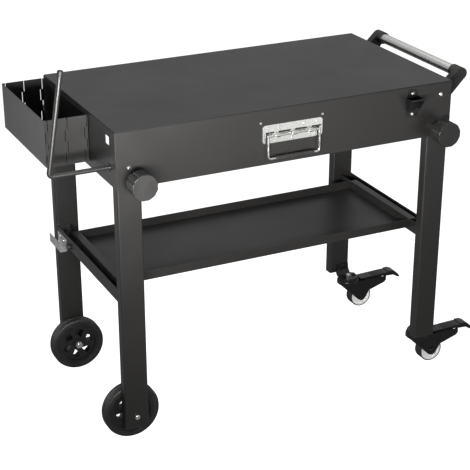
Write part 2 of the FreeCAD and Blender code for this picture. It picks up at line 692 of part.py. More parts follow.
def stop_slot():
    """Clearance in the skirts round the stop pin while the pedal is pressed."""
    half = PEDAL_PIN_RADIUS + 2
    return box(STOP_PIN_X - half, STOP_PIN_X + half, 0, 2 * SWIVEL_Y, STOP_PIN_Z - 6, STOP_PIN_Z + 13)


# Shelf tray and the rails that carry it

RAIL_SHEET = 2.0
RAIL_RIGHT = RAIL_LEFT + RAIL_WIDTH


def end_rail():
    """Left end rail: a channel open at the top, closed by a bolted plate at each leg."""
    start, end = LEG_BACK, BOX_DEPTH - LEG_BACK
    outer = box(RAIL_LEFT, RAIL_RIGHT, start, end, RAIL_BOTTOM, RAIL_TOP)
    inner = box(RAIL_LEFT + RAIL_SHEET, RAIL_RIGHT - RAIL_SHEET, start + RAIL_SHEET, end - RAIL_SHEET,
                RAIL_BOTTOM + RAIL_SHEET, RAIL_TOP + 1)
    hole = rod_y(RAIL_BOLT_X, start - 1, start + RAIL_SHEET + 1, RAIL_BOLT_Z, RAIL_BOLT_RADIUS)
    return outer.cut([inner, hole, mirror_depth(hole)])


def rail_bolt():
    start = LEG_BACK - LEG_WALL - 4
    back = LEG_BACK + RAIL_SHEET
    shank = rod_y(RAIL_BOLT_X, start, back, RAIL_BOLT_Z, RAIL_BOLT_RADIUS)
    return shank.fuse(hex_y(RAIL_BOLT_X, back, back + 4, RAIL_BOLT_Z, 10))


def rail_bolts():
    left = front_and_rear(rail_bolt())
    return left + [mirror_length(bolt) for bolt in left]


TRAY_GAP = 0.5
HOOK_DEPTH = 12.0
HOOK_REACH = 19.0
DRAIN_X = 58.5
DRAIN_Y = 415.0
DRAIN_RADIUS = 3.5


def shelf_tray():
    """Shelf: floor, four upright sides and a folded hook over each end rail."""
    x0 = RAIL_RIGHT + TRAY_GAP
    x1 = BOX_LENGTH - x0
    y0, y1 = SHELF_INSET, BOX_DEPTH - SHELF_INSET
    floor_z = SHELF_TOP - SHELF_DEPTH
    shell = box(x0, x1, y0, y1, floor_z, SHELF_TOP)
    shell = shell.cut(box(x0 + SHEET, x1 - SHEET, y0 + SHEET, y1 - SHEET, floor_z + SHEET, SHELF_TOP + 1))
    ridge_left = x0 - HOOK_REACH
    ridge = box(ridge_left, x0, y0, y1, SHELF_TOP - SHEET, SHELF_TOP)
    drop = box(ridge_left, ridge_left + SHEET, y0, y1, SHELF_TOP - HOOK_DEPTH, SHELF_TOP)
    hook = ridge.fuse(drop)
    return shell.fuse([hook, mirror_length(hook)]).removeSplitter().cut(drain_hole())


def drain_hole():
    floor_z = SHELF_TOP - SHELF_DEPTH
    return rod_z(DRAIN_X, DRAIN_Y, floor_z - 1, floor_z + SHEET + 1, DRAIN_RADIUS)


# Small bracket and catch on the left rail

BRACKET_FRONT = 417.0
BRACKET_REAR = 505.0
BRACKET_WEB_REAR = 489.0
BRACKET_LOW = 393.5
BRACKET_WIDTH = 20.0
CATCH_RADIUS = 9.0


def rail_bracket():
    """Bent zinc strip on the outer face of the left rail, open upwards; its trough runs past the leg."""
    outer = RAIL_LEFT - BRACKET_WIDTH
    web = box(RAIL_LEFT - SHEET, RAIL_LEFT, BRACKET_FRONT, BRACKET_WEB_REAR, BRACKET_LOW, BRACKET_LOW + 34.5)
    bottom = box(outer, RAIL_LEFT - SHEET, BRACKET_FRONT, BRACKET_WEB_REAR, BRACKET_LOW, BRACKET_LOW + SHEET)
    tail = box(outer, LEG_END_GAP - HAIRLINE, BRACKET_FRONT, BRACKET_REAR, BRACKET_LOW, BRACKET_LOW + SHEET)
    lip = box(outer, outer + SHEET, BRACKET_FRONT, BRACKET_REAR, BRACKET_LOW, BRACKET_LOW + 26.5)
    return web.fuse([bottom, tail, lip]).removeSplitter()


def rail_bracket_screws():
    screws = []
    for y in (BRACKET_FRONT + 15, BRACKET_FRONT + 53):
        screws.append(rod_x(RAIL_LEFT - SHEET - 2, RAIL_LEFT - SHEET, y, BRACKET_LOW + 25.5, 3.5))
    return screws


def rail_catch():
    """Round button beside the bracket."""
    button = rod_x(RAIL_LEFT - CATCH_RADIUS, RAIL_LEFT, BRACKET_FRONT - 27, BRACKET_LOW + 24.5, CATCH_RADIUS)
    return round_circles(button, 2.0, CATCH_RADIUS)


# Caddy on the left end

CADDY_GAP = 1.5
CADDY_BACK_X = -CADDY_GAP
CADDY_OUTER_X = -CADDY_GAP - CADDY_WIDTH
HOOK_WIDTH = 18.0
HOOK_DROP = 15.0
FOLD_SPACING = 6.0
SLIT_WIDTH = 1.6


def fold_slits(x):
    """Staggered slits of one fold line, through the front and the rear side of the caddy."""
    height = CADDY_TOP - CADDY_BOTTOM
    piece = height / 4
    slits = []
    for step in range(4):
        side = FOLD_SPACING / 2 if step % 2 == 0 else -FOLD_SPACING / 2
        top = CADDY_TOP - step * piece
        low = top - piece + 1.0
        if step == 3:
            low = CADDY_BOTTOM + 4
        if step == 0:
            top = CADDY_TOP + 1
        centre = x + side
        slits.append(box(centre - SLIT_WIDTH / 2, centre + SLIT_WIDTH / 2, CADDY_FRONT - 1,
                         CADDY_FRONT + SHEET + 1, low, top))
        slits.append(box(centre - SLIT_WIDTH / 2, centre + SLIT_WIDTH / 2, BOX_DEPTH - SHEET - 1,
                         BOX_DEPTH + 1, low, top))
    return slits


def caddy_hook(start):
    """Hook bent from the back of the caddy through a slot of the end panel."""
    middle = start + SLOT_LENGTH / 2
    y0, y1 = middle - HOOK_WIDTH / 2, middle + HOOK_WIDTH / 2
    low = SLOT_BOTTOM + HAIRLINE
    tab = box(CADDY_BACK_X - SHEET, 2 * SHEET + SHEET, y0, y1, low, low + SHEET)
    drop = box(2 * SHEET, 3 * SHEET, y0, y1, low + SHEET - HOOK_DROP, low + SHEET)
    return tab.fuse(drop)


def caddy_body():
    shell = box(CADDY_OUTER_X, CADDY_BACK_X, CADDY_FRONT, BOX_DEPTH, CADDY_BOTTOM, CADDY_TOP)
    shell = shell.cut(box(CADDY_OUTER_X + SHEET, CADDY_BACK_X - SHEET, CADDY_FRONT + SHEET,
                          BOX_DEPTH - SHEET, CADDY_BOTTOM + SHEET, CADDY_TOP + 1))
    for x in (CADDY_OUTER_X + 6, (CADDY_OUTER_X + CADDY_BACK_X) / 2, CADDY_BACK_X - 6):
        shell = shell.cut(fold_slits(x))
    hooks = [caddy_hook(start) for start in slot_starts()[1:]]
    return shell.fuse(hooks).removeSplitter()


# Upright rod on the left end

def rod_hole():
    return rod_x(-1, 2 * SHEET, ROD_Y, ROD_Z, ROD_RADIUS + 0.1)


def towel_rod():
    """Bar out of the end panel, bent up into a rod that leans back to the cart."""
    corner = V(-ROD_REACH, ROD_Y, ROD_Z)
    start = V(10, ROD_Y, ROD_Z)
    end = V(-ROD_REACH + ROD_LEAN, ROD_Y, ROD_TOP)
    rise = (end - corner).normalize()
    first = corner + V(ROD_SETBACK, 0, 0)
    second = corner + rise * ROD_SETBACK
    bisector = (V(1, 0, 0) + rise).normalize()
    centre = corner + bisector * (ROD_BEND / math.sin(ROD_HALF_TURN))
    middle = centre - bisector * ROD_BEND
    path = Part.Wire([Part.LineSegment(start, first).toShape(), Part.Arc(first, middle, second).toShape(),
                      Part.LineSegment(second, end).toShape()])
    circle = Part.Wire([Part.Circle(start, V(1, 0, 0), ROD_RADIUS).toShape()])
    return path.makePipeShell([circle], True, True)


def rod_cap():
    """Soft cap on the tip of the rod."""
    end = V(-ROD_REACH + ROD_LEAN, ROD_Y, ROD_TOP)
    rise = (end - V(-ROD_REACH, ROD_Y, ROD_Z)).normalize()
    cap = Part.makeCylinder(ROD_RADIUS + 1.2, 16, end - rise * 13, rise)
    circles = [edge for edge in cap.Edges if isinstance(edge.Curve, Part.Circle)]
    tip = max(circles, key=lambda edge: edge.CenterOfMass.z)
    return cap.makeFillet(2.5, [tip]).cut(Part.makeCylinder(ROD_RADIUS, 30, end - rise * 30, rise))


def rod_nuts():
    """Collar outside and nut inside the end panel."""
    collar = rod_x(-2.5, 0, ROD_Y, ROD_Z, 10.5)
    nut = rod_x(SHEET, SHEET + 6, ROD_Y, ROD_Z, 10.5)
    bore = rod_x(-5, 20, ROD_Y, ROD_Z, ROD_RADIUS)
    return [collar.cut(bore), nut.cut(bore)]


# Push handle on the right end

GRIP_X = BOX_LENGTH + HANDLE_REACH
GRIP_Z = 866.5
ARM_THICKNESS = 23.0
ELBOW_LENGTH = 40.0
ARM_LOW = 783.0
ARM_HIGH = 828.0
ARM_SCREW_Z = (797.0, 816.0)
ARM_SCREW_Y = HANDLE_INSET + ARM_THICKNESS / 2


def handle_arm():
    """Front arm: slanted plate from the end panel out to a round socket for the grip."""
    root = BOX_LENGTH
    y0, y1 = HANDLE_INSET, HANDLE_INSET + ARM_THICKNESS
    outline = [(root, ARM_LOW), (root + 31, ARM_LOW + 29),
               (GRIP_X + 0.78 * ELBOW_RADIUS, GRIP_Z - 0.6 * ELBOW_RADIUS), (GRIP_X, GRIP_Z),
               (GRIP_X - 0.72 * ELBOW_RADIUS, GRIP_Z + 0.67 * ELBOW_RADIUS),
               (root + 23, ARM_HIGH + 26), (root, ARM_HIGH)]
    arm = prism_xz(outline, y0, y1)
    socket = rod_y(GRIP_X, y0, y0 + ELBOW_LENGTH, GRIP_Z, ELBOW_RADIUS)
    body = arm.fuse(socket).removeSplitter()
    body = body.cut(rod_y(GRIP_X, y0 + 8, y0 + ELBOW_LENGTH + 1, GRIP_Z, GRIP_RADIUS))
    return body.cut([rod_x(root - 1, root + 12, ARM_SCREW_Y, z, 2.5) for z in ARM_SCREW_Z])


def grip_tube():
    """Hollow grip between the sockets of the two arms."""
    start = HANDLE_INSET + 8
    tube = rod_y(GRIP_X, start, BOX_DEPTH - start, GRIP_Z, GRIP_RADIUS)
    return tube.cut(rod_y(GRIP_X, start - 1, BOX_DEPTH - start + 1, GRIP_Z, GRIP_RADIUS - 1.5))


def handle_screw_holes():
    holes = []
    for z in ARM_SCREW_Z:
        hole = rod_x(BOX_LENGTH - 2 * SHEET, BOX_LENGTH + 1, ARM_SCREW_Y, z, 2.5)
        holes += front_and_rear(hole)
    return holes


def handle_screws():
    """Screws from inside the box into the arms."""
    screws = []
    inside = BOX_LENGTH - SHEET
    for z in ARM_SCREW_Z:
        shank = rod_x(inside, BOX_LENGTH + 12, ARM_SCREW_Y, z, 2.5)
        head = rod_x(inside - 3, inside, ARM_SCREW_Y, z, 5)
        screws += front_and_rear(shank.fuse(head))
    return screws


# Drop handle on the front apron

PLATE_LEFT = 393.5
PLATE_RIGHT = 563.5
PLATE_LOW = 779.0
PLATE_HIGH = 827.0
PLATE_THICKNESS = 2.0
PLATE_CORNER = 8.0
BAIL_LEFT = 405.5
BAIL_RIGHT = 551.5
BAIL_Y = -10.0
BAIL_HINGE_Z = 800.0
BAIL_LOW = 740.0
BAIL_RADIUS = 3.0
BAIL_CORNER = 8.0
KNUCKLE_STARTS = (426.0, 473.0, 520.0)
KNUCKLE_LENGTH = 12.0
BAIL_GRIP_RADIUS = 6.5
RIVET_SHANK = 0.6


def bail_plate():
    """Plate on the apron: slit above the hinge bar, notches for the wires and three knuckles."""
    plate = box(PLATE_LEFT, PLATE_RIGHT, -PLATE_THICKNESS, 0, PLATE_LOW, PLATE_HIGH)
    plate = rounded(plate, V(0, 1, 0), PLATE_CORNER)
    slit_low = BAIL_HINGE_Z + 4
    slit_high = BAIL_HINGE_Z + 8.5
    slit = box(PLATE_LEFT + 8, PLATE_RIGHT - 3, -5, 1, slit_low, slit_high)
    notches = []
    for x in (BAIL_LEFT, BAIL_RIGHT):
        notches.append(box(x - BAIL_RADIUS, x + BAIL_RADIUS, -5, 1, PLATE_LOW - 1, slit_low + 1))
    plate = plate.cut([slit] + notches)
    knuckles = []
    for start in KNUCKLE_STARTS:
        end = start + KNUCKLE_LENGTH
        sleeve = rod_x(start, end, BAIL_Y, BAIL_HINGE_Z, BAIL_RADIUS + 2)
        web = box(start, end, BAIL_Y, -0.5, BAIL_HINGE_Z - BAIL_RADIUS - 2, BAIL_HINGE_Z + BAIL_RADIUS + 2)
        bridge = box(start, end, -PLATE_THICKNESS, 0, slit_low - 1, slit_high + 1)
        knuckles += [sleeve, web, bridge]
    body = plate.fuse(knuckles).removeSplitter()
    bar_hole = rod_x(PLATE_LEFT, PLATE_RIGHT, BAIL_Y, BAIL_HINGE_Z, BAIL_RADIUS + RUNNING)
    return body.cut([bar_hole] + [rod_y(x, -5, 1, z, radius * RIVET_SHANK) for x, z, radius in plate_rivets()])


def plate_rivets():
    """Rivet places on the plate, with the head radius of each."""
    upper = PLATE_HIGH - 8.0
    lower = PLATE_LOW + 5.0
    middle = (PLATE_LEFT + PLATE_RIGHT) / 2
    small = [(middle - 70, upper), (middle, upper), (middle + 69, upper), (middle - 52, lower), (middle + 52, lower)]
    large = [(middle - 37, upper - 1), (middle + 32, upper - 1), (middle, lower + 1)]
    return [(x, z, 2.6) for x, z in small] + [(x, z, 4.0) for x, z in large]


def bail_rivets():
    heads = []
    for x, z, radius in plate_rivets():
        shank = rod_y(x, -PLATE_THICKNESS, 0, z, radius * RIVET_SHANK)
        heads.append(domed_head(x, -PLATE_THICKNESS, z, radius, 1.2).fuse(shank))
    return heads


def bail():
    """Closed rectangular loop of round bar with bent lower corners."""
    left, right, y = BAIL_LEFT, BAIL_RIGHT, BAIL_Y
    bars = [rod_x(left, right, y, BAIL_HINGE_Z, BAIL_RADIUS)]
    for x in (left, right):
        bars.append(rod_z(x, y, BAIL_LOW + BAIL_CORNER, BAIL_HINGE_Z, BAIL_RADIUS))
        bars.append(Part.makeSphere(BAIL_RADIUS, V(x, y, BAIL_HINGE_Z)))
    bars.append(rod_x(left + BAIL_CORNER, right - BAIL_CORNER, y, BAIL_LOW, BAIL_RADIUS))
    for x, turn in ((left + BAIL_CORNER, 180), (right - BAIL_CORNER, 270)):
        centre = V(x, y, BAIL_LOW + BAIL_CORNER)
        bend = Part.makeTorus(BAIL_CORNER, BAIL_RADIUS, V(0, 0, 0), V(0, 0, 1), 0, 360, 90)
        bend.rotate(V(0, 0, 0), V(0, 0, 1), turn)
        bend.rotate(V(0, 0, 0), V(1, 0, 0), 90)
        bend.translate(centre)
        bars.append(bend)
    return bars[0].fuse(bars[1:]).removeSplitter()


def bail_grip():
    """Sleeve round the lower bar."""
    grip = rod_x(BAIL_LEFT + 20, BAIL_RIGHT - 16, BAIL_Y, BAIL_LOW, BAIL_GRIP_RADIUS)
    grip = round_circles(grip, 2.0, BAIL_GRIP_RADIUS)
    return grip.cut(rod_x(BAIL_LEFT, BAIL_RIGHT, BAIL_Y, BAIL_LOW, BAIL_RADIUS))


def apron_rivets():
    """Two small fastener heads on the apron above the drop handle."""
    z = PLATE_HIGH + 7
    return [domed_head(PLATE_LEFT - 5, 0, z, 3.0, 1.2), domed_head(PLATE_RIGHT + 1, 0, z, 3.0, 1.2)]


# Bottle opener on the front apron

OPENER_MIDDLE = 832.0
OPENER_HALF = 17.5
OPENER_LOW = 788.0
OPENER_HIGH = 862.0
OPENER_SHEET = 2.5
HOOD_REACH = 30.0
HOOD_HALF = 21.5
HOOD_FOOT_HALF = 16.0
HOOD_Z = 841.0
HOOD_FOOT = 803.0
HOOD_FOOT_REACH = 8.0
LIP_HEIGHT = 3.0
MOUTH_TOP = 812.0
MOUTH_HALF = 11.0


def opener_screw_places():
    return [(OPENER_MIDDLE, OPENER_HIGH - 12), (OPENER_MIDDLE, OPENER_LOW + 7)]


def hood_block(inset, foot, lift):
    """Flared block under the hood lip: wide at the lip and narrow at the foot, set in on both sides."""
    wide = HOOD_HALF - inset
    narrow = HOOD_FOOT_HALF - inset
    lip = HOOD_Z + lift
    front = -HOOD_REACH + inset

    def section(y, low):
        share = (lip - low) / (HOOD_Z - HOOD_FOOT)
        low_half = wide - (wide - narrow) * min(share, 1.0)
        corners = [(-wide, lip), (wide, lip), (low_half, low), (-low_half, low), (-wide, lip)]
        return Part.makePolygon([V(OPENER_MIDDLE + x, y, z) for x, z in corners])

    slope = (HOOD_Z - LIP_HEIGHT - HOOD_FOOT) / (HOOD_REACH - HOOD_FOOT_REACH)
    front_low = foot + slope * (HOOD_REACH - inset - HOOD_FOOT_REACH)
    knee = section(-HOOD_FOOT_REACH, foot)
    sloping = Part.makeLoft([section(front, front_low), knee], True, True)
    level = Part.makeLoft([knee, section(-HAIRLINE, foot)], True, True)
    return sloping.fuse(level)


def opener():
    """Wall plate with a round top and a flared hood above the mouth."""
    left, right = OPENER_MIDDLE - OPENER_HALF, OPENER_MIDDLE + OPENER_HALF
    plate = box(left, right, -PLATE_THICKNESS, 0, OPENER_LOW, OPENER_HIGH - OPENER_HALF)
    plate = plate.fuse(rod_y(OPENER_MIDDLE, -PLATE_THICKNESS, 0, OPENER_HIGH - OPENER_HALF, OPENER_HALF))
    hood = hood_block(0, HOOD_FOOT, 0).cut(hood_block(OPENER_SHEET, HOOD_FOOT + OPENER_SHEET, 2 * OPENER_SHEET))
    mouth = box(OPENER_MIDDLE - MOUTH_HALF, OPENER_MIDDLE + MOUTH_HALF, -14, -PLATE_THICKNESS - 3,
                HOOD_FOOT - 1, MOUTH_TOP)
    body = plate.fuse(hood.cut(mouth)).removeSplitter()
    return body.cut([rod_y(x, -5, 1, z, 2.5) for x, z in opener_screw_places()])


def opener_screws():
    screws = []
    for x, z in opener_screw_places():
        shank = rod_y(x, -PLATE_THICKNESS, 0, z, 2.5)
        screws.append(domed_head(x, -PLATE_THICKNESS, z, 4.5, 2.0).fuse(shank))
    return screws


# Write every node

def write_box():
    save("top_plate", top_plate())
    save("top_stiffeners", *top_stiffeners())
    save("front_apron", apron().cut(rod_hole()))
    save("rear_apron", mirror_depth(apron()))
    front_sheet, rear_sheet = left_end_sheets()
    save("left_end_front", front_sheet)
    save("left_end_panel", rear_sheet)
    save("right_end_panel", right_end_panel())


def write_legs():
    save("leg_front_left", left_leg())
    save("leg_rear_left", mirror_depth(left_leg()))
    save("leg_front_right", right_leg())
    save("leg_rear_right", mirror_depth(right_leg()))
    save("leg_plugs", *leg_plugs())
    save("pivot_bolts", *pivot_parts(pivot_bolt))
    save("pivot_nuts", *(pivot_parts(pivot_nut) + pivot_parts(pivot_washer)))


def write_knobs():
    places = [("front_left", lambda s: s), ("rear_left", mirror_depth), ("front_right", mirror_length),
              ("rear_right", lambda s: mirror_depth(mirror_length(s)))]
    for name, move in places:
        save("knob_" + name, move(knob()), move(knob_stud()))
    save("knob_inserts", *[move(knob_insert()) for name, move in places])


def write_wheels():
    for name, move in (("front", lambda s: s), ("rear", mirror_depth)):
        save("tyre_" + name, move(big_tyre()))
        save("wheel_hub_" + name, move(big_hub()))
    save("axle_bolts", *front_and_rear(axle_bolt()))
    save("axle_nuts", *(front_and_rear(axle_nut()) + front_and_rear(axle_spacer())))


def write_casters():
    bolts = bracket_bolts()
    save("caster_brackets", *front_and_rear(caster_bracket()))
    save("caster_bracket_bolts", *(bolts + [mirror_depth(bolt) for bolt in bolts]))
    save("caster_mounts", *front_and_rear(mount_disc()))
    save("caster_kingpins", *front_and_rear(kingpin()))
    for name, move in (("front", lambda s: s), ("rear", mirror_depth)):
        save("caster_fork_" + name, move(caster_fork()))
        save("caster_pins_" + name, *[move(pin) for pin in caster_pins() + [caster_axle()]])
        save("caster_tread_" + name, move(caster_tread()))
        save("caster_core_" + name, move(caster_core()))
        save("brake_pedal_" + name, move(brake_pedal()))


def write_shelf():
    save("rail_left", end_rail())
    save("rail_right", mirror_length(end_rail()))
    save("rail_bolts", *rail_bolts())
    save("shelf_tray", shelf_tray())
    save("rail_bracket", rail_bracket())
    save("rail_bracket_screws", *rail_bracket_screws())
    save("rail_catch", rail_catch())


def write_fittings():
    save("caddy", caddy_body())
    save("towel_rod", towel_rod())
    save("towel_rod_cap", rod_cap())
    save("towel_rod_nuts", *rod_nuts())
    save("handle_arms", *front_and_rear(handle_arm()))
    save("handle_grip", grip_tube())
    save("handle_screws", *handle_screws())
    save("bail_plate", bail_plate())
    save("bail_rivets", *bail_rivets())
    save("bail", bail())
    save("bail_grip", bail_grip())
    save("apron_rivets", *apron_rivets())
    save("opener", opener())
    save("opener_screws", *opener_screws())


os.makedirs("parts", exist_ok=True)
write_box()
write_legs()
write_knobs()
write_wheels()
write_casters()
write_shelf()
write_fittings()
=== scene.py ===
import bmesh
import bpy
import json
import math
from mathutils import Matrix, Vector

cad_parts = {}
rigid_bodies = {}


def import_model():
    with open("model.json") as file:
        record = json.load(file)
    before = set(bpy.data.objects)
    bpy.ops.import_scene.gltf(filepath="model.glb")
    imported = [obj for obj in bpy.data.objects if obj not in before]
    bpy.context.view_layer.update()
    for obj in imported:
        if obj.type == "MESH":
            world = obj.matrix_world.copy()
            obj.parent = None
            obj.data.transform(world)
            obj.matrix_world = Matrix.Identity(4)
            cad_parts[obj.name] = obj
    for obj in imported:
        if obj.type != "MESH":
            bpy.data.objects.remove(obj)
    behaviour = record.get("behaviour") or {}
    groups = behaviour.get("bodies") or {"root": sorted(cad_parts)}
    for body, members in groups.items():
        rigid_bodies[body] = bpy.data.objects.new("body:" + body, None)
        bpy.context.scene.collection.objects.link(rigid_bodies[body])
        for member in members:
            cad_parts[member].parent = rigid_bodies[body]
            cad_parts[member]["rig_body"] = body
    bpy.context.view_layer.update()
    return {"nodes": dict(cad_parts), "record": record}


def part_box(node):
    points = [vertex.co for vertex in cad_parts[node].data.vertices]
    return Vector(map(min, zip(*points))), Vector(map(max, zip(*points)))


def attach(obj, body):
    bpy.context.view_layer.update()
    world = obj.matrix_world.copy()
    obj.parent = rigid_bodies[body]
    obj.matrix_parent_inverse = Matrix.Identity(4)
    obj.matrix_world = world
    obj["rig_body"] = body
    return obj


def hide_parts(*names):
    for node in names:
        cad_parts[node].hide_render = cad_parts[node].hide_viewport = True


bl_info = {
    "name": "Grill cart with storage",
    "version": (1, 0, 0),
    "blender": (4, 5, 0),
    "location": "3D View > Sidebar > Grill cart",
    "description": "Finishes and detail of a steel grill cart with shelf, caddy, wheels and casters",
    "category": "Object",
}

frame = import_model()
MM = 0.001

# The photograph's view: place of the camera in metres, its angles in degrees and its lens
IMAGE_SIZE = 470
CAMERA_PLACE = (-1.5523, -3.1344, 1.9337)
CAMERA_AZIMUTH = -25.458
CAMERA_ELEVATION = 25.209
CAMERA_ROLL = -0.195
FOCAL_PIXELS = 1359.87
CENTRE_PIXEL_X = 227.35
CENTRE_PIXEL_Y = 275.24
SENSOR_MM = 36.0

SLOT_OF_NODE = {part["node"]: part["material_slot"] for part in frame["record"]["subparts"]}


def linear(hex_colour):
    """Turn an sRGB hex colour into linear red, green and blue."""
    channels = []
    for start in (1, 3, 5):
        share = int(hex_colour[start:start + 2], 16) / 255
        channels.append(share / 12.92 if share <= 0.04045 else ((share + 0.055) / 1.055) ** 2.4)
    return tuple(channels)


# Sizes and colours that a user would change

class CartSizes(bpy.types.PropertyGroup):
    edge_rounding: bpy.props.FloatProperty(
        name="Edge rounding", description="Radius of the rounded sheet edges, in millimetres",
        default=0.35, min=0.05, max=1.0)
    tyre_segments: bpy.props.IntProperty(
        name="Tyre segments", description="Number of segments round a tyre", default=160, min=48, max=240)
    pedal_ribs: bpy.props.IntProperty(
        name="Pedal ribs", description="Number of anti-slip ribs on a brake pedal", default=5, min=1, max=5)


def colour_property(name, description, hex_colour):
    """A colour that a user can change, with an sRGB default."""
    return bpy.props.FloatVectorProperty(
        name=name, description=description, subtype="COLOR", size=3, min=0.0, max=1.0,
        default=linear(hex_colour))


class CartColours(bpy.types.PropertyGroup):
    top: colour_property("Top", "Powder coat of the top sheet", "#171717")
    frame: colour_property("Frame", "Powder coat of the box, legs and shelf", "#1e1d1c")
    black: colour_property("Black steel", "Enamel of the casters, brackets and opener", "#0a0a0a")
    zinc: colour_property("Zinc", "Bright zinc plate of the small bracket on the rail", "#ecece6")
    chrome: colour_property("Chrome", "Chrome plate of the drop handle and the screws", "#f2f2ee")
    satin: colour_property("Satin metal", "Brushed aluminium of the push grip", "#dcdcd9")
    knob: colour_property("Knob", "Moulded plastic of the hand knobs", "#1a1918")
    hub: colour_property("Hub", "Moulded plastic of the wheel centres", "#0d0d0c")
    core: colour_property("Caster centre", "Nylon of the caster wheel centres", "#e9e9e6")
    tyre: colour_property("Tyre", "Rubber of the two big tyres", "#191817")


# Materials

# A noise keeps mostly to this range, so it is spread over the whole of what it drives
NOISE_RANGE = [("From Min", 0.3), ("From Max", 0.7)]


def add_node(tree, kind, values=(), links=(), **settings):
    """Add a node with its settings, its socket values and the outputs that feed it.

    A socket goes by its name, or by its number where all have the same one, as on a Math node."""
    node = tree.nodes.new(kind)
    for name, value in settings.items():
        setattr(node, name, value)
    for socket, value in values:
        node.inputs[socket].default_value = value
    for socket, source in links:
        tree.links.new(source, node.inputs[socket])
    return node


def new_material(name):
    """An empty node material and its tree, with the Object coordinates that its patterns read."""
    material = bpy.data.materials.new(name)
    material.use_nodes = True
    tree = material.node_tree
    tree.nodes.clear()
    place = add_node(tree, "ShaderNodeTexCoord").outputs["Object"]
    return material, tree, place


def pattern_scale(millimetres):
    """Noise scale that gives features about this many millimetres wide."""
    return 1.0 / (millimetres * MM)


def rgba(colour):
    """The colour with full cover, as a node socket takes it."""
    return (colour[0], colour[1], colour[2], 1.0)


def shaded(colour, factor):
    """The same colour, darker or lighter by a factor."""
    return tuple(min(1.0, channel * factor) for channel in colour) + (1.0,)


def finish_shader(tree, colour, rough, normal, metallic=0.0):
    """Join colour, roughness and normal outputs to the surface shader of a material."""
    links = [("Base Color", colour), ("Roughness", rough), ("Normal", normal)]
    shader = add_node(tree, "ShaderNodeBsdfPrincipled", [("Metallic", metallic)], links)
    add_node(tree, "ShaderNodeOutputMaterial", links=[("Surface", shader.outputs[0])])


def powder_coated_steel(name, colour):
    """Polyester powder coat baked on steel: even dark satin skin with a fine orange-peel ripple.

    The eye gets a soft broad highlight, a faint grain and a painted highlight that makes the rounded edges
    paler."""
    material, tree, place = new_material(name)
    cloud = add_node(tree, "ShaderNodeTexNoise", [("Scale", pattern_scale(160)), ("Detail", 3.0)],
                     [("Vector", place)])
    tone = add_node(tree, "ShaderNodeMix", [("A", shaded(colour, 0.94)), ("B", shaded(colour, 1.06))],
                    [("Factor", cloud.outputs[0])], data_type="RGBA")
    # Pigment grain is about 0.1 mm; drawn at 1.2 mm so that it shows
    grain = add_node(tree, "ShaderNodeTexNoise", [("Scale", pattern_scale(1.2)), ("Detail", 2.0)],
                     [("Vector", place)])
    speck = add_node(tree, "ShaderNodeMapRange",
                     [("From Min", 0.35), ("From Max", 0.65), ("To Min", 0.93), ("To Max", 1.07)],
                     [("Value", grain.outputs[0])])
    grained = add_node(tree, "ShaderNodeMix", [("Factor", 1.0)],
                       [("A", tone.outputs["Result"]), ("B", speck.outputs[0])],
                       data_type="RGBA", blend_type="MULTIPLY")
    # Painted highlight on the rounded edges, broken up by a patchy noise
    edge = add_node(tree, "ShaderNodeAttribute", attribute_name="edge")
    patchy = add_node(tree, "ShaderNodeTexNoise", [("Scale", pattern_scale(14)), ("Detail", 2.0)],
                      [("Vector", place)])
    coat_highlight_mask = add_node(tree, "ShaderNodeMath", [], [(0, edge.outputs["Fac"]), (1, patchy.outputs[0])],
                    operation="MULTIPLY")
    coat_edge_highlight = shaded(colour, 2.4)
    coat = add_node(tree, "ShaderNodeMix", [("B", coat_edge_highlight)],
                    [("Factor", coat_highlight_mask.outputs[0]), ("A", grained.outputs["Result"])], data_type="RGBA")
    rough = add_node(tree, "ShaderNodeMapRange", NOISE_RANGE + [("To Min", 0.34), ("To Max", 0.42)],
                     [("Value", cloud.outputs[0])])
    # Orange peel with ripples about 2.5 mm apart
    peel = add_node(tree, "ShaderNodeTexNoise", [("Scale", pattern_scale(2.5)), ("Detail", 1.0)],
                    [("Vector", place)])
    bump = add_node(tree, "ShaderNodeBump", [("Strength", 0.12), ("Distance", 0.2 * MM)],
                    [("Height", peel.outputs[0])])
    finish_shader(tree, coat.outputs["Result"], rough.outputs[0], bump.outputs[0])
    return material


def black_enamel(name, colour):
    """Black stoving enamel on formed steel: smoother and glossier than the powder coat."""
    material, tree, place = new_material(name)
    cloud = add_node(tree, "ShaderNodeTexNoise", [("Scale", pattern_scale(30)), ("Detail", 3.0)],
                     [("Vector", place)])
    tone = add_node(tree, "ShaderNodeMix", [("A", shaded(colour, 0.85)), ("B", shaded(colour, 1.2))],
                    [("Factor", cloud.outputs[0])], data_type="RGBA")
    edge = add_node(tree, "ShaderNodeAttribute", attribute_name="edge")
    enamel_highlight_noise = add_node(tree, "ShaderNodeTexNoise", [("Scale", pattern_scale(5)), ("Detail", 3.0)],
                     [("Vector", place)])
    enamel_highlight_mask = add_node(tree, "ShaderNodeMath", [], [(0, edge.outputs["Fac"]), (1, enamel_highlight_noise.outputs[0])],
                       operation="MULTIPLY")
    # Painted highlight on the rounded edges, broken up by noise; the enamel is nearly black, so it needs a
    # strong factor to show
    enamel_edge_highlight = shaded(colour, 20.0)
    coat = add_node(tree, "ShaderNodeMix", [("B", enamel_edge_highlight)],
                    [("Factor", enamel_highlight_mask.outputs[0]), ("A", tone.outputs["Result"])], data_type="RGBA")
    rough = add_node(tree, "ShaderNodeMapRange", NOISE_RANGE + [("To Min", 0.26), ("To Max", 0.36)],
                     [("Value", cloud.outputs[0])])
    ripple = add_node(tree, "ShaderNodeTexNoise", [("Scale", pattern_scale(3)), ("Detail", 1.0)],
                      [("Vector", place)])
    bump = add_node(tree, "ShaderNodeBump", [("Strength", 0.1), ("Distance", 0.15 * MM)],
                    [("Height", ripple.outputs[0])])
    finish_shader(tree, coat.outputs["Result"], rough.outputs[0], bump.outputs[0])
    return material


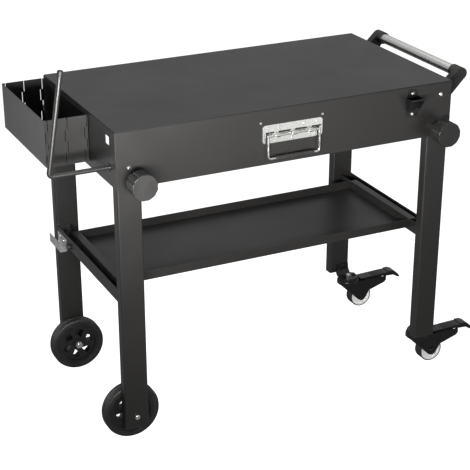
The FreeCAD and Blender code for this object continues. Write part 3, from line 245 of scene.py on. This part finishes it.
def zinc_plated_steel(name, colour):
    """Bright zinc plate on steel: pale metal with cloudy bluish grey patches."""
    material, tree, place = new_material(name)
    cloud = add_node(tree, "ShaderNodeTexNoise", [("Scale", pattern_scale(12)), ("Detail", 4.0)],
                     [("Vector", place)])
    bluish = (colour[0] * 0.84, colour[1] * 0.88, colour[2] * 0.92, 1.0)
    tone = add_node(tree, "ShaderNodeMix", [("A", bluish), ("B", rgba(colour))],
                    [("Factor", cloud.outputs[0])], data_type="RGBA")
    rough = add_node(tree, "ShaderNodeMapRange", NOISE_RANGE + [("To Min", 0.24), ("To Max", 0.38)],
                     [("Value", cloud.outputs[0])])
    # Plating grain of about 0.3 mm, drawn at 0.8 mm
    grain = add_node(tree, "ShaderNodeTexNoise", [("Scale", pattern_scale(0.8)), ("Detail", 2.0)],
                     [("Vector", place)])
    bump = add_node(tree, "ShaderNodeBump", [("Strength", 0.12), ("Distance", 0.08 * MM)],
                    [("Height", grain.outputs[0])])
    finish_shader(tree, tone.outputs["Result"], rough.outputs[0], bump.outputs[0], metallic=1.0)
    return material


def chrome_plated_steel(name, colour):
    """Bright chrome on pressed steel: mirror-like, with faint polishing swirls."""
    material, tree, place = new_material(name)
    swirl = add_node(tree, "ShaderNodeTexNoise", [("Scale", pattern_scale(8)), ("Detail", 3.0)],
                     [("Vector", place)])
    tone = add_node(tree, "ShaderNodeMix", [("A", shaded(colour, 0.93)), ("B", rgba(colour))],
                    [("Factor", swirl.outputs[0])], data_type="RGBA")
    rough = add_node(tree, "ShaderNodeMapRange", NOISE_RANGE + [("To Min", 0.16), ("To Max", 0.3)],
                     [("Value", swirl.outputs[0])])
    bump = add_node(tree, "ShaderNodeBump", [("Strength", 0.06), ("Distance", 0.1 * MM)],
                    [("Height", swirl.outputs[0])])
    finish_shader(tree, tone.outputs["Result"], rough.outputs[0], bump.outputs[0], metallic=1.0)
    return material


def brushed_aluminium(name, colour):
    """Anodised aluminium tube brushed along its length: satin sheen with fine lengthwise lines."""
    material, tree, place = new_material(name)
    # Brush lines are about 0.1 mm apart; drawn 1 mm apart round the tube and 80 mm long
    stretched = add_node(tree, "ShaderNodeMapping", [("Scale", (1.0, 0.012, 1.0))], [("Vector", place)])
    lines = add_node(tree, "ShaderNodeTexNoise", [("Scale", pattern_scale(1.0)), ("Detail", 2.0)],
                     [("Vector", stretched.outputs[0])])
    tone = add_node(tree, "ShaderNodeMix", [("A", shaded(colour, 0.82)), ("B", shaded(colour, 1.12))],
                    [("Factor", lines.outputs[0])], data_type="RGBA")
    rough = add_node(tree, "ShaderNodeMapRange", NOISE_RANGE + [("To Min", 0.34), ("To Max", 0.46)],
                     [("Value", lines.outputs[0])])
    bump = add_node(tree, "ShaderNodeBump", [("Strength", 0.15), ("Distance", 0.05 * MM)],
                    [("Height", lines.outputs[0])])
    finish_shader(tree, tone.outputs["Result"], rough.outputs[0], bump.outputs[0], metallic=1.0)
    return material


def moulded_plastic(name, colour, roughness, grain_mm):
    """Injection-moulded plastic with a spark-eroded mould texture: dull, even and slightly grainy.

    Its roughness is a lowest and a highest value, and its grain a width in millimetres."""
    material, tree, place = new_material(name)
    cloud = add_node(tree, "ShaderNodeTexNoise", [("Scale", pattern_scale(25)), ("Detail", 3.0)],
                     [("Vector", place)])
    tone = add_node(tree, "ShaderNodeMix", [("A", shaded(colour, 0.9)), ("B", shaded(colour, 1.1))],
                    [("Factor", cloud.outputs[0])], data_type="RGBA")
    # Painted highlight on the rounded edges, where the cloud noise is high
    edge = add_node(tree, "ShaderNodeAttribute", attribute_name="edge")
    plastic_highlight_mask = add_node(tree, "ShaderNodeMath", [], [(0, edge.outputs["Fac"]), (1, cloud.outputs[0])],
                      operation="MULTIPLY")
    plastic_edge_highlight = shaded(colour, 3.0)
    skin = add_node(tree, "ShaderNodeMix", [("B", plastic_edge_highlight)],
                    [("Factor", plastic_highlight_mask.outputs[0]), ("A", tone.outputs["Result"])], data_type="RGBA")
    rough = add_node(tree, "ShaderNodeMapRange",
                     NOISE_RANGE + [("To Min", roughness[0]), ("To Max", roughness[1])],
                     [("Value", cloud.outputs[0])])
    grain = add_node(tree, "ShaderNodeTexNoise", [("Scale", pattern_scale(grain_mm)), ("Detail", 2.0)],
                     [("Vector", place)])
    bump = add_node(tree, "ShaderNodeBump", [("Strength", 0.2), ("Distance", 0.12 * MM)],
                    [("Height", grain.outputs[0])])
    finish_shader(tree, skin.outputs["Result"], rough.outputs[0], bump.outputs[0])
    return material


def rubber(name, colour, roughness):
    """Vulcanised rubber: matte black with a dusty grey bloom and a fine pitted skin.

    Its roughness is a lowest and a highest value."""
    material, tree, place = new_material(name)
    bloom = add_node(tree, "ShaderNodeTexNoise", [("Scale", pattern_scale(18)), ("Detail", 5.0)],
                     [("Vector", place)])
    dusty = add_node(tree, "ShaderNodeMapRange",
                     [("From Min", 0.45), ("From Max", 0.75), ("To Min", 0.0), ("To Max", 0.5)],
                     [("Value", bloom.outputs[0])])
    tone = add_node(tree, "ShaderNodeMix", [("A", rgba(colour)), ("B", shaded(colour, 1.9))],
                    [("Factor", dusty.outputs[0])], data_type="RGBA")
    rough = add_node(tree, "ShaderNodeMapRange",
                     NOISE_RANGE + [("To Min", roughness[0]), ("To Max", roughness[1])],
                     [("Value", bloom.outputs[0])])
    # Skin pits are about 0.2 mm; drawn at 0.9 mm
    pits = add_node(tree, "ShaderNodeTexNoise", [("Scale", pattern_scale(0.9)), ("Detail", 2.0)],
                    [("Vector", place)])
    bump = add_node(tree, "ShaderNodeBump", [("Strength", 0.25), ("Distance", 0.15 * MM)],
                    [("Height", pits.outputs[0])])
    finish_shader(tree, tone.outputs["Result"], rough.outputs[0], bump.outputs[0])
    return material


def make_finishes(colours):
    """One material for each material slot of the record."""
    return {
        "top_paint": powder_coated_steel("powder-coated steel top", colours.top),
        "frame_paint": powder_coated_steel("powder-coated steel frame", colours.frame),
        "black_steel": black_enamel("black enamelled steel", colours.black),
        "zinc": zinc_plated_steel("bright zinc-plated steel", colours.zinc),
        "chrome": chrome_plated_steel("chrome-plated steel", colours.chrome),
        "satin_steel": brushed_aluminium("brushed aluminium grip", colours.satin),
        "knob_plastic": moulded_plastic(
            "moulded knob plastic", colours.knob, roughness=(0.42, 0.55), grain_mm=1.0),
        "cap_plastic": moulded_plastic(
            "moulded cap plastic", colours.knob, roughness=(0.5, 0.62), grain_mm=0.8),
        "hub_plastic": moulded_plastic(
            "moulded hub plastic", colours.hub, roughness=(0.4, 0.55), grain_mm=1.0),
        "core_plastic": moulded_plastic(
            "moulded nylon", colours.core, roughness=(0.35, 0.45), grain_mm=1.2),
        "tyre_rubber": rubber("tyre rubber", colours.tyre, roughness=(0.46, 0.62)),
        "tread_rubber": rubber("caster tread rubber", colours.tyre, roughness=(0.55, 0.7)),
        "grip_rubber": rubber("rubber sleeve", colours.knob, roughness=(0.5, 0.65)),
    }


FINISHES = {}


# Shape helpers

# Lengths in mm below which places count as one, and the angle in degrees below which faces are flat
WELD_DISTANCE = 0.002
TURNED_WELD_DISTANCE = 0.001
SEAM_TOLERANCE = 0.01
FLAT_ANGLE = 0.6

# Angles in degrees above which an edge is rounded, and above which it stays a crease in the shading
ROUNDED_ANGLE = 30
CREASE_ANGLE = 40
ROUNDING_SEGMENTS = 2

# Rounding of the edges of the smaller pieces in mm
THIN_ROUNDING = 0.3
SMALL_ROUNDING = 0.4
MEDIUM_ROUNDING = 0.5
BROAD_ROUNDING = 0.6
KNOB_ROUNDING = 0.8
HANDLE_ROUNDING = 1.2


def flag_edges(form, faces):
    """Mark the rounded faces, so that the finishes can paint a highlight there."""
    layer = form.faces.layers.float["edge"]
    for face in faces:
        face[layer] = 1.0


def edges_sharper_than(form, degrees):
    """The edges whose two faces meet at more than an angle."""
    limit = math.radians(degrees)
    return [edge for edge in form.edges if edge.is_manifold and edge.calc_face_angle() > limit]


def round_edges(form, millimetres, seam=None):
    """Round every sharp edge, apart from those at a welded seam across Y."""
    form.faces.layers.float.new("edge")
    sharp = edges_sharper_than(form, ROUNDED_ANGLE)
    if seam is not None:
        sharp = [edge for edge in sharp
                 if any(abs(vert.co.y - seam) > SEAM_TOLERANCE * MM for vert in edge.verts)]
    made = bmesh.ops.bevel(form, geom=sharp, offset=millimetres * MM, offset_type="OFFSET",
                           segments=ROUNDING_SEGMENTS, profile=0.5, affect="EDGES", clamp_overlap=True,
                           material=-1)
    flag_edges(form, made["faces"])


def finish_piece(form, name, body, slot, nodes=()):
    """Turn the worked form into an object that rides on a body and stands for the nodes."""
    for face in form.faces:
        face.smooth = True
    for edge in form.edges:
        edge.smooth = not (edge.is_manifold and edge.calc_face_angle() > math.radians(CREASE_ANGLE))
    mesh = bpy.data.meshes.new(name)
    form.to_mesh(mesh)
    form.free()
    piece = bpy.data.objects.new(name, mesh)
    bpy.context.scene.collection.objects.link(piece)
    mesh.materials.append(FINISHES[slot])
    weighted = piece.modifiers.new("Even shading", "WEIGHTED_NORMAL")
    weighted.keep_sharp = True
    if nodes:
        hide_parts(*nodes)
    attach(piece, body)


def merged_copy(node):
    """The mesh of a CAD node with its loose triangles joined into whole faces."""
    form = bmesh.new()
    form.from_mesh(frame["nodes"][node].data)
    bmesh.ops.remove_doubles(form, verts=form.verts, dist=WELD_DISTANCE * MM)
    bmesh.ops.dissolve_limit(form, angle_limit=math.radians(FLAT_ANGLE), use_dissolve_boundaries=False,
                             verts=form.verts, edges=form.edges, delimit=set())
    return form


def body_of_node(node):
    """The body that a CAD node moves with."""
    return frame["nodes"][node]["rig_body"]


def dress_node(node, rounding, seam=None):
    """A rounded copy of a CAD node that stands for it."""
    form = merged_copy(node)
    round_edges(form, rounding, seam=seam)
    finish_piece(form, node + "_rounded", body_of_node(node), SLOT_OF_NODE[node], [node])


def dress_nodes(nodes, rounding, seam=None):
    """Rounded copies of several CAD nodes with one rounding."""
    for node in nodes:
        dress_node(node, rounding, seam)


def paint_node(node):
    """Give a CAD node the finish of its slot."""
    source = frame["nodes"][node]
    for material_slot in source.material_slots:
        material_slot.material = FINISHES[SLOT_OF_NODE[node]]


def middle_of(node):
    """The middle of the box round a CAD node, in metres."""
    low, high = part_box(node)
    return (Vector(low) + Vector(high)) / 2


def turned_form(outline, axis_place, axis, steps):
    """Spin an outline round an axis through a place in metres.

    Its points are (along the axis, from the axis) in mm."""
    form = bmesh.new()
    along = Vector(axis)
    side = along.orthogonal().normalized()
    corners = []
    for distance, radius in outline:
        corners.append(form.verts.new(Vector(axis_place) + along * distance * MM + side * radius * MM))
    runs = [form.edges.new(pair) for pair in zip(corners, corners[1:])]
    bmesh.ops.spin(form, geom=corners + runs, cent=axis_place, axis=axis, angle=math.tau, steps=steps,
                   use_merge=True)
    bmesh.ops.remove_doubles(form, verts=form.verts, dist=TURNED_WELD_DISTANCE * MM)
    bmesh.ops.recalc_face_normals(form, faces=form.faces)
    return form


def box_form(low, high, rounding):
    """A block between two corners in metres, with rounded edges."""
    form = bmesh.new()
    bmesh.ops.create_cube(form, size=1.0)
    low, high = Vector(low), Vector(high)
    bmesh.ops.scale(form, vec=high - low, verts=form.verts)
    bmesh.ops.translate(form, vec=(low + high) / 2, verts=form.verts)
    round_edges(form, rounding)
    return form


def join_forms(forms):
    """Put several worked forms into one."""
    whole = bmesh.new()
    whole.faces.layers.float.new("edge")
    for form in forms:
        part = bpy.data.meshes.new("part")
        form.to_mesh(part)
        form.free()
        whole.from_mesh(part)
        bpy.data.meshes.remove(part)
    return whole


# One half of the tyre's section in mm, as (from its middle, from the axle): its side from the bead to the
# tread, and the channel round the middle of the tread
TYRE_SIDE = [(15.9, 61.3), (17.0, 62.4), (17.0, 65.4), (15.9, 66.2), (15.9, 69.6), (17.0, 70.4),
             (17.0, 72.6), (15.2, 75.6), (11.0, 77.0)]
TYRE_CHANNEL = [(2.0, 77.0), (1.3, 75.8)]


def tyre_outline():
    """Both halves of the tyre section, closed on itself."""
    half = TYRE_SIDE + TYRE_CHANNEL
    other = [(-across, radius) for across, radius in reversed(half)]
    return half + other + half[:1]


def tyre_form(middle, steps):
    """Solid tyre with a stepped sidewall, a centre channel and an otherwise smooth tread."""
    form = turned_form(tyre_outline(), middle, (0.0, 1.0, 0.0), steps)
    form.faces.layers.float.new("edge")
    return form


# Ribs on a brake pedal in mm: their run along the pedal from its tip, their half height and their margin
# at its sides, with the height of the pedal's flat face above the floor
RIB_FIRST = 62.0
RIB_SPACING = 9.0
RIB_LENGTH = 3.0
RIB_HALF_HEIGHT = 1.2
RIB_SIDE_MARGIN = 4.0
PEDAL_FACE = 97.9


def rib_forms(node, count):
    """Cross ribs on the flat run of a brake pedal."""
    low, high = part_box(node)
    forms = []
    for step in range(count):
        start = high[0] - (RIB_FIRST + step * RIB_SPACING) * MM
        corner = (start, low[1] + RIB_SIDE_MARGIN * MM, (PEDAL_FACE - RIB_HALF_HEIGHT) * MM)
        opposite = (start + RIB_LENGTH * MM, high[1] - RIB_SIDE_MARGIN * MM,
                    (PEDAL_FACE + RIB_HALF_HEIGHT) * MM)
        forms.append(box_form(corner, opposite, MEDIUM_ROUNDING))
    return forms


class CartOperator:
    """What the operators share: no undo step, and the sizes and colours of the scene."""
    bl_options = {"REGISTER"}

    @property
    def sizes(self):
        return bpy.context.scene.cart_sizes

    @property
    def colours(self):
        return bpy.context.scene.cart_colours


# Operators, one for each group of pieces

class CART_OT_finishes(CartOperator, bpy.types.Operator):
    """Make the finishes and give them to every CAD node"""
    bl_idname = "cart.finishes"
    bl_label = "Finishes"

    def execute(self, context):
        FINISHES.update(make_finishes(self.colours))
        for node in frame["nodes"]:
            paint_node(node)
        return {"FINISHED"}


class CART_OT_box(CartOperator, bpy.types.Operator):
    """Round the folded sheets of the box top"""
    bl_idname = "cart.box"
    bl_label = "Box top"

    def execute(self, context):
        rounding = self.sizes.edge_rounding
        dress_nodes(("top_plate", "front_apron", "rear_apron", "right_end_panel"), rounding)
        # The two sheets of the left end are welded where the front one ends
        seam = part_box("left_end_front")[1][1]
        dress_nodes(("left_end_front", "left_end_panel"), rounding, seam)
        return {"FINISHED"}


class CART_OT_legs(CartOperator, bpy.types.Operator):
    """Round the leg tubes and their end plugs"""
    bl_idname = "cart.legs"
    bl_label = "Legs"

    def execute(self, context):
        pieces = ("leg_front_left", "leg_rear_left", "leg_front_right", "leg_rear_right", "leg_plugs")
        dress_nodes(pieces, self.sizes.edge_rounding)
        return {"FINISHED"}


class CART_OT_shelf(CartOperator, bpy.types.Operator):
    """Round the tray, its rails and the zinc bracket"""
    bl_idname = "cart.shelf"
    bl_label = "Shelf"

    def execute(self, context):
        pieces = ("shelf_tray", "rail_left", "rail_right", "rail_catch", "rail_bolts")
        dress_nodes(pieces, self.sizes.edge_rounding)
        dress_node("rail_bracket", THIN_ROUNDING)
        dress_node("rail_bracket_screws", BROAD_ROUNDING)
        return {"FINISHED"}


class CART_OT_caddy(CartOperator, bpy.types.Operator):
    """Round the sheet edges of the hanging caddy"""
    bl_idname = "cart.caddy"
    bl_label = "Caddy"

    def execute(self, context):
        dress_node("caddy", self.sizes.edge_rounding)
        return {"FINISHED"}


class CART_OT_rod(CartOperator, bpy.types.Operator):
    """Smooth the upright rod, its cap and its collar"""
    bl_idname = "cart.rod"
    bl_label = "Upright rod"

    def execute(self, context):
        dress_nodes(("towel_rod", "towel_rod_cap", "towel_rod_nuts"), SMALL_ROUNDING)
        return {"FINISHED"}


class CART_OT_push_handle(CartOperator, bpy.types.Operator):
    """Round the arms of the push handle and smooth the grip tube"""
    bl_idname = "cart.push_handle"
    bl_label = "Push handle"

    def execute(self, context):
        dress_node("handle_arms", HANDLE_ROUNDING)
        dress_node("handle_grip", THIN_ROUNDING)
        return {"FINISHED"}


class CART_OT_drop_handle(CartOperator, bpy.types.Operator):
    """Smooth the drop handle, its plate and its rivets"""
    bl_idname = "cart.drop_handle"
    bl_label = "Drop handle"

    def execute(self, context):
        dress_node("bail_plate", SMALL_ROUNDING)
        dress_nodes(("bail", "bail_rivets", "bail_grip", "apron_rivets"), THIN_ROUNDING)
        return {"FINISHED"}


class CART_OT_opener(CartOperator, bpy.types.Operator):
    """Round the bottle opener and its screws"""
    bl_idname = "cart.opener"
    bl_label = "Bottle opener"

    def execute(self, context):
        dress_node("opener", BROAD_ROUNDING)
        dress_node("opener_screws", THIN_ROUNDING)
        return {"FINISHED"}


class CART_OT_knobs(CartOperator, bpy.types.Operator):
    """Smooth the four hand knobs"""
    bl_idname = "cart.knobs"
    bl_label = "Hand knobs"

    def execute(self, context):
        for place in ("front_left", "rear_left", "front_right", "rear_right"):
            dress_node("knob_" + place, KNOB_ROUNDING)
        return {"FINISHED"}


class CART_OT_wheels(CartOperator, bpy.types.Operator):
    """Turn the tyres and smooth the wheel centres and axles"""
    bl_idname = "cart.wheels"
    bl_label = "Big wheels"

    def execute(self, context):
        for place in ("front", "rear"):
            tyre = "tyre_" + place
            form = tyre_form(middle_of(tyre), self.sizes.tyre_segments)
            finish_piece(form, tyre + "_tread", body_of_node(tyre), SLOT_OF_NODE[tyre], [tyre])
            dress_node("wheel_hub_" + place, BROAD_ROUNDING)
        dress_node("axle_bolts", SMALL_ROUNDING)
        dress_node("axle_nuts", MEDIUM_ROUNDING)
        return {"FINISHED"}


class CART_OT_casters(CartOperator, bpy.types.Operator):
    """Round the casters with their brackets, forks, wheels and pedals"""
    bl_idname = "cart.casters"
    bl_label = "Casters"

    def execute(self, context):
        for place in ("front", "rear"):
            dress_node("caster_fork_" + place, BROAD_ROUNDING)
            dress_node("caster_pins_" + place, SMALL_ROUNDING)
            dress_node("caster_tread_" + place, MEDIUM_ROUNDING)
            dress_node("caster_core_" + place, BROAD_ROUNDING)
            pedal = "brake_pedal_" + place
            dress_node(pedal, MEDIUM_ROUNDING)
            ribs = join_forms(rib_forms(pedal, self.sizes.pedal_ribs))
            finish_piece(ribs, "pedal_ribs_" + place, body_of_node(pedal), SLOT_OF_NODE[pedal])
        mounting = ("caster_brackets", "caster_bracket_bolts", "caster_mounts", "caster_kingpins")
        dress_nodes(mounting, MEDIUM_ROUNDING)
        return {"FINISHED"}


class CART_OT_fasteners(CartOperator, bpy.types.Operator):
    """Round the pivot bolts and nuts"""
    bl_idname = "cart.fasteners"
    bl_label = "Pivot fasteners"

    def execute(self, context):
        dress_node("pivot_bolts", SMALL_ROUNDING)
        dress_node("pivot_nuts", MEDIUM_ROUNDING)
        return {"FINISHED"}


# Stage

# Width of the floor in metres, and its squares along a side
FLOOR_SIZE = 60.0
FLOOR_CELLS = 4

# Strengths of the white surroundings and of the floor's own light, where 1 is white
SURROUNDINGS_LIGHT = 0.06
SURROUNDINGS_IN_REFLECTIONS = 0.48
FLOOR_LIFT = 0.96
FLOOR_IN_REFLECTIONS = 0.15

# Colour of the floor for the camera, and for the light that bounces off it
FLOOR_WHITE = "#d9d9d9"
FLOOR_IN_BOUNCES = "#606060"

# Nearest and farthest distance that the camera sees, in metres
CLIP_NEAR = 0.05
CLIP_FAR = 200.0

# Lamps: name, place and target in metres, width and height in metres, watts, spread in degrees
LAMPS = (
    ("key", (-0.75, -1.35, 0.86), (0.0, -0.26, 1.15), 0.8, 0.2, 35.0, 125.0),
    ("overhead", (0.2, 0.8, 3.6), (0.0, 0.0, 0.6), 3.0, 2.4, 38.0, 180.0),
    ("left card", (-1.7, 1.3, 0.5), (-0.6, 0.1, 0.7), 1.2, 1.0, 4.8, 180.0),
    ("low card", (0.95, -1.9, 0.4), (0.0, -0.26, 0.7), 1.3, 0.7, 2.4, 180.0),
)


def floor_material():
    """Matt studio board: white for the camera apart from the object's shadow, dim for bounced light."""
    material = bpy.data.materials.new("matt studio board")
    material.use_nodes = True
    tree = material.node_tree
    tree.nodes.clear()
    rays = add_node(tree, "ShaderNodeLightPath")
    white = rgba(linear(FLOOR_WHITE))
    tone = add_node(tree, "ShaderNodeMix", [("A", rgba(linear(FLOOR_IN_BOUNCES))), ("B", white)],
                    [("Factor", rays.outputs["Is Camera Ray"])], data_type="RGBA")
    board = add_node(tree, "ShaderNodeBsdfDiffuse", links=[("Color", tone.outputs["Result"])])
    mirrored = add_node(tree, "ShaderNodeMath", [(1, FLOOR_IN_REFLECTIONS)],
                        [(0, rays.outputs["Is Glossy Ray"])], operation="MULTIPLY")
    lift = add_node(tree, "ShaderNodeMath", [(1, FLOOR_LIFT)],
                    [(0, rays.outputs["Is Camera Ray"]), (2, mirrored.outputs[0])], operation="MULTIPLY_ADD")
    glow = add_node(tree, "ShaderNodeEmission", [("Color", (1.0, 1.0, 1.0, 1.0))],
                    [("Strength", lift.outputs[0])])
    both = add_node(tree, "ShaderNodeAddShader", [], [(0, board.outputs[0]), (1, glow.outputs[0])])
    add_node(tree, "ShaderNodeOutputMaterial", links=[("Surface", both.outputs[0])])
    return material


def make_floor():
    """A wide flat floor under the wheels."""
    form = bmesh.new()
    bmesh.ops.create_grid(form, x_segments=FLOOR_CELLS, y_segments=FLOOR_CELLS, size=FLOOR_SIZE / 2)
    mesh = bpy.data.meshes.new("studio_floor")
    form.to_mesh(mesh)
    form.free()
    floor = bpy.data.objects.new("studio_floor", mesh)
    bpy.context.scene.collection.objects.link(floor)
    mesh.materials.append(floor_material())


def make_world():
    """White surroundings for the camera, half as bright in reflections and dim as a source of light."""
    world = bpy.data.worlds.new("studio")
    bpy.context.scene.world = world
    world.use_nodes = True
    tree = world.node_tree
    tree.nodes.clear()
    rays = add_node(tree, "ShaderNodeLightPath")
    seen = add_node(tree, "ShaderNodeMath", [], [(0, rays.outputs["Is Camera Ray"]),
                                                 (1, rays.outputs["Is Transmission Ray"])],
                    operation="MAXIMUM")
    dim = add_node(tree, "ShaderNodeMapRange",
                   [("To Min", SURROUNDINGS_LIGHT), ("To Max", SURROUNDINGS_IN_REFLECTIONS)],
                   [("Value", rays.outputs["Is Glossy Ray"])])
    strength = add_node(tree, "ShaderNodeMath", [], [(0, dim.outputs[0]), (1, seen.outputs[0])],
                        operation="MAXIMUM")
    back = add_node(tree, "ShaderNodeBackground", [("Color", (1.0, 1.0, 1.0, 1.0))],
                    [("Strength", strength.outputs[0])])
    add_node(tree, "ShaderNodeOutputWorld", links=[("Surface", back.outputs[0])])


def softbox(name, place, target, width, height, power, spread):
    """A rectangular studio lamp that faces a place on the object; a grid can narrow its spread."""
    data = bpy.data.lights.new(name, "AREA")
    data.shape = "RECTANGLE"
    data.size = width
    data.size_y = height
    data.energy = power
    data.spread = math.radians(spread)
    lamp = bpy.data.objects.new(name, data)
    bpy.context.scene.collection.objects.link(lamp)
    lamp.location = place
    direction = Vector(target) - Vector(place)
    lamp.rotation_mode = "QUATERNION"
    lamp.rotation_quaternion = direction.to_track_quat("-Z", "Y")
    lamp.visible_camera = False


def make_camera():
    """The camera that took the photograph, with its shifted centre and its roll."""
    azimuth = math.radians(CAMERA_AZIMUTH)
    elevation = math.radians(CAMERA_ELEVATION)
    back = Vector((math.sin(azimuth) * math.cos(elevation), -math.cos(azimuth) * math.cos(elevation),
                   math.sin(elevation)))
    data = bpy.data.cameras.new("photograph")
    data.sensor_width = SENSOR_MM
    data.lens = FOCAL_PIXELS / IMAGE_SIZE * SENSOR_MM
    data.shift_x = (IMAGE_SIZE / 2 - CENTRE_PIXEL_X) / IMAGE_SIZE
    data.shift_y = (CENTRE_PIXEL_Y - IMAGE_SIZE / 2) / IMAGE_SIZE
    data.clip_start = CLIP_NEAR
    data.clip_end = CLIP_FAR
    camera = bpy.data.objects.new("photograph", data)
    bpy.context.scene.collection.objects.link(camera)
    camera.location = CAMERA_PLACE
    camera.rotation_mode = "QUATERNION"
    roll = Matrix.Rotation(math.radians(CAMERA_ROLL), 4, "Z").to_quaternion()
    camera.rotation_quaternion = (-back).to_track_quat("-Z", "Y") @ roll
    bpy.context.scene.camera = camera


class CART_OT_stage(CartOperator, bpy.types.Operator):
    """Make the camera, the floor, the surroundings and the lamps"""
    bl_idname = "cart.stage"
    bl_label = "Stage"

    def execute(self, context):
        make_camera()
        make_floor()
        make_world()
        for lamp in LAMPS:
            softbox(*lamp)
        bpy.context.scene.view_settings.view_transform = "Standard"
        return {"FINISHED"}


OPERATORS = (
    CART_OT_stage, CART_OT_finishes, CART_OT_box, CART_OT_legs, CART_OT_shelf, CART_OT_caddy, CART_OT_rod,
    CART_OT_push_handle, CART_OT_drop_handle, CART_OT_opener, CART_OT_knobs, CART_OT_wheels,
    CART_OT_casters, CART_OT_fasteners,
)


class CART_PT_sidebar(bpy.types.Panel):
    """Every operator as a button, with the sizes and colours below"""
    bl_label = "Grill cart"
    bl_idname = "CART_PT_sidebar"
    bl_space_type = "VIEW_3D"
    bl_region_type = "UI"
    bl_category = "Grill cart"

    def draw(self, context):
        for operator in OPERATORS:
            self.layout.operator(operator.bl_idname)
        for group in (context.scene.cart_sizes, context.scene.cart_colours):
            for name in group.bl_rna.properties.keys():
                if name not in ("rna_type", "name"):
                    self.layout.prop(group, name)


CLASSES = (CartSizes, CartColours) + OPERATORS + (CART_PT_sidebar,)


def register():
    """Register the classes and hang the settings on the scene."""
    for cls in CLASSES:
        bpy.utils.register_class(cls)
    bpy.types.Scene.cart_sizes = bpy.props.PointerProperty(type=CartSizes)
    bpy.types.Scene.cart_colours = bpy.props.PointerProperty(type=CartColours)


def unregister():
    """Undo register, in the opposite order."""
    del bpy.types.Scene.cart_colours
    del bpy.types.Scene.cart_sizes
    for cls in reversed(CLASSES):
        bpy.utils.unregister_class(cls)


def main():
    """Register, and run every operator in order."""
    register()
    for operator in OPERATORS:
        group, action = operator.bl_idname.split(".")
        getattr(getattr(bpy.ops, group), action)()


if __name__ == "__main__":
    main()
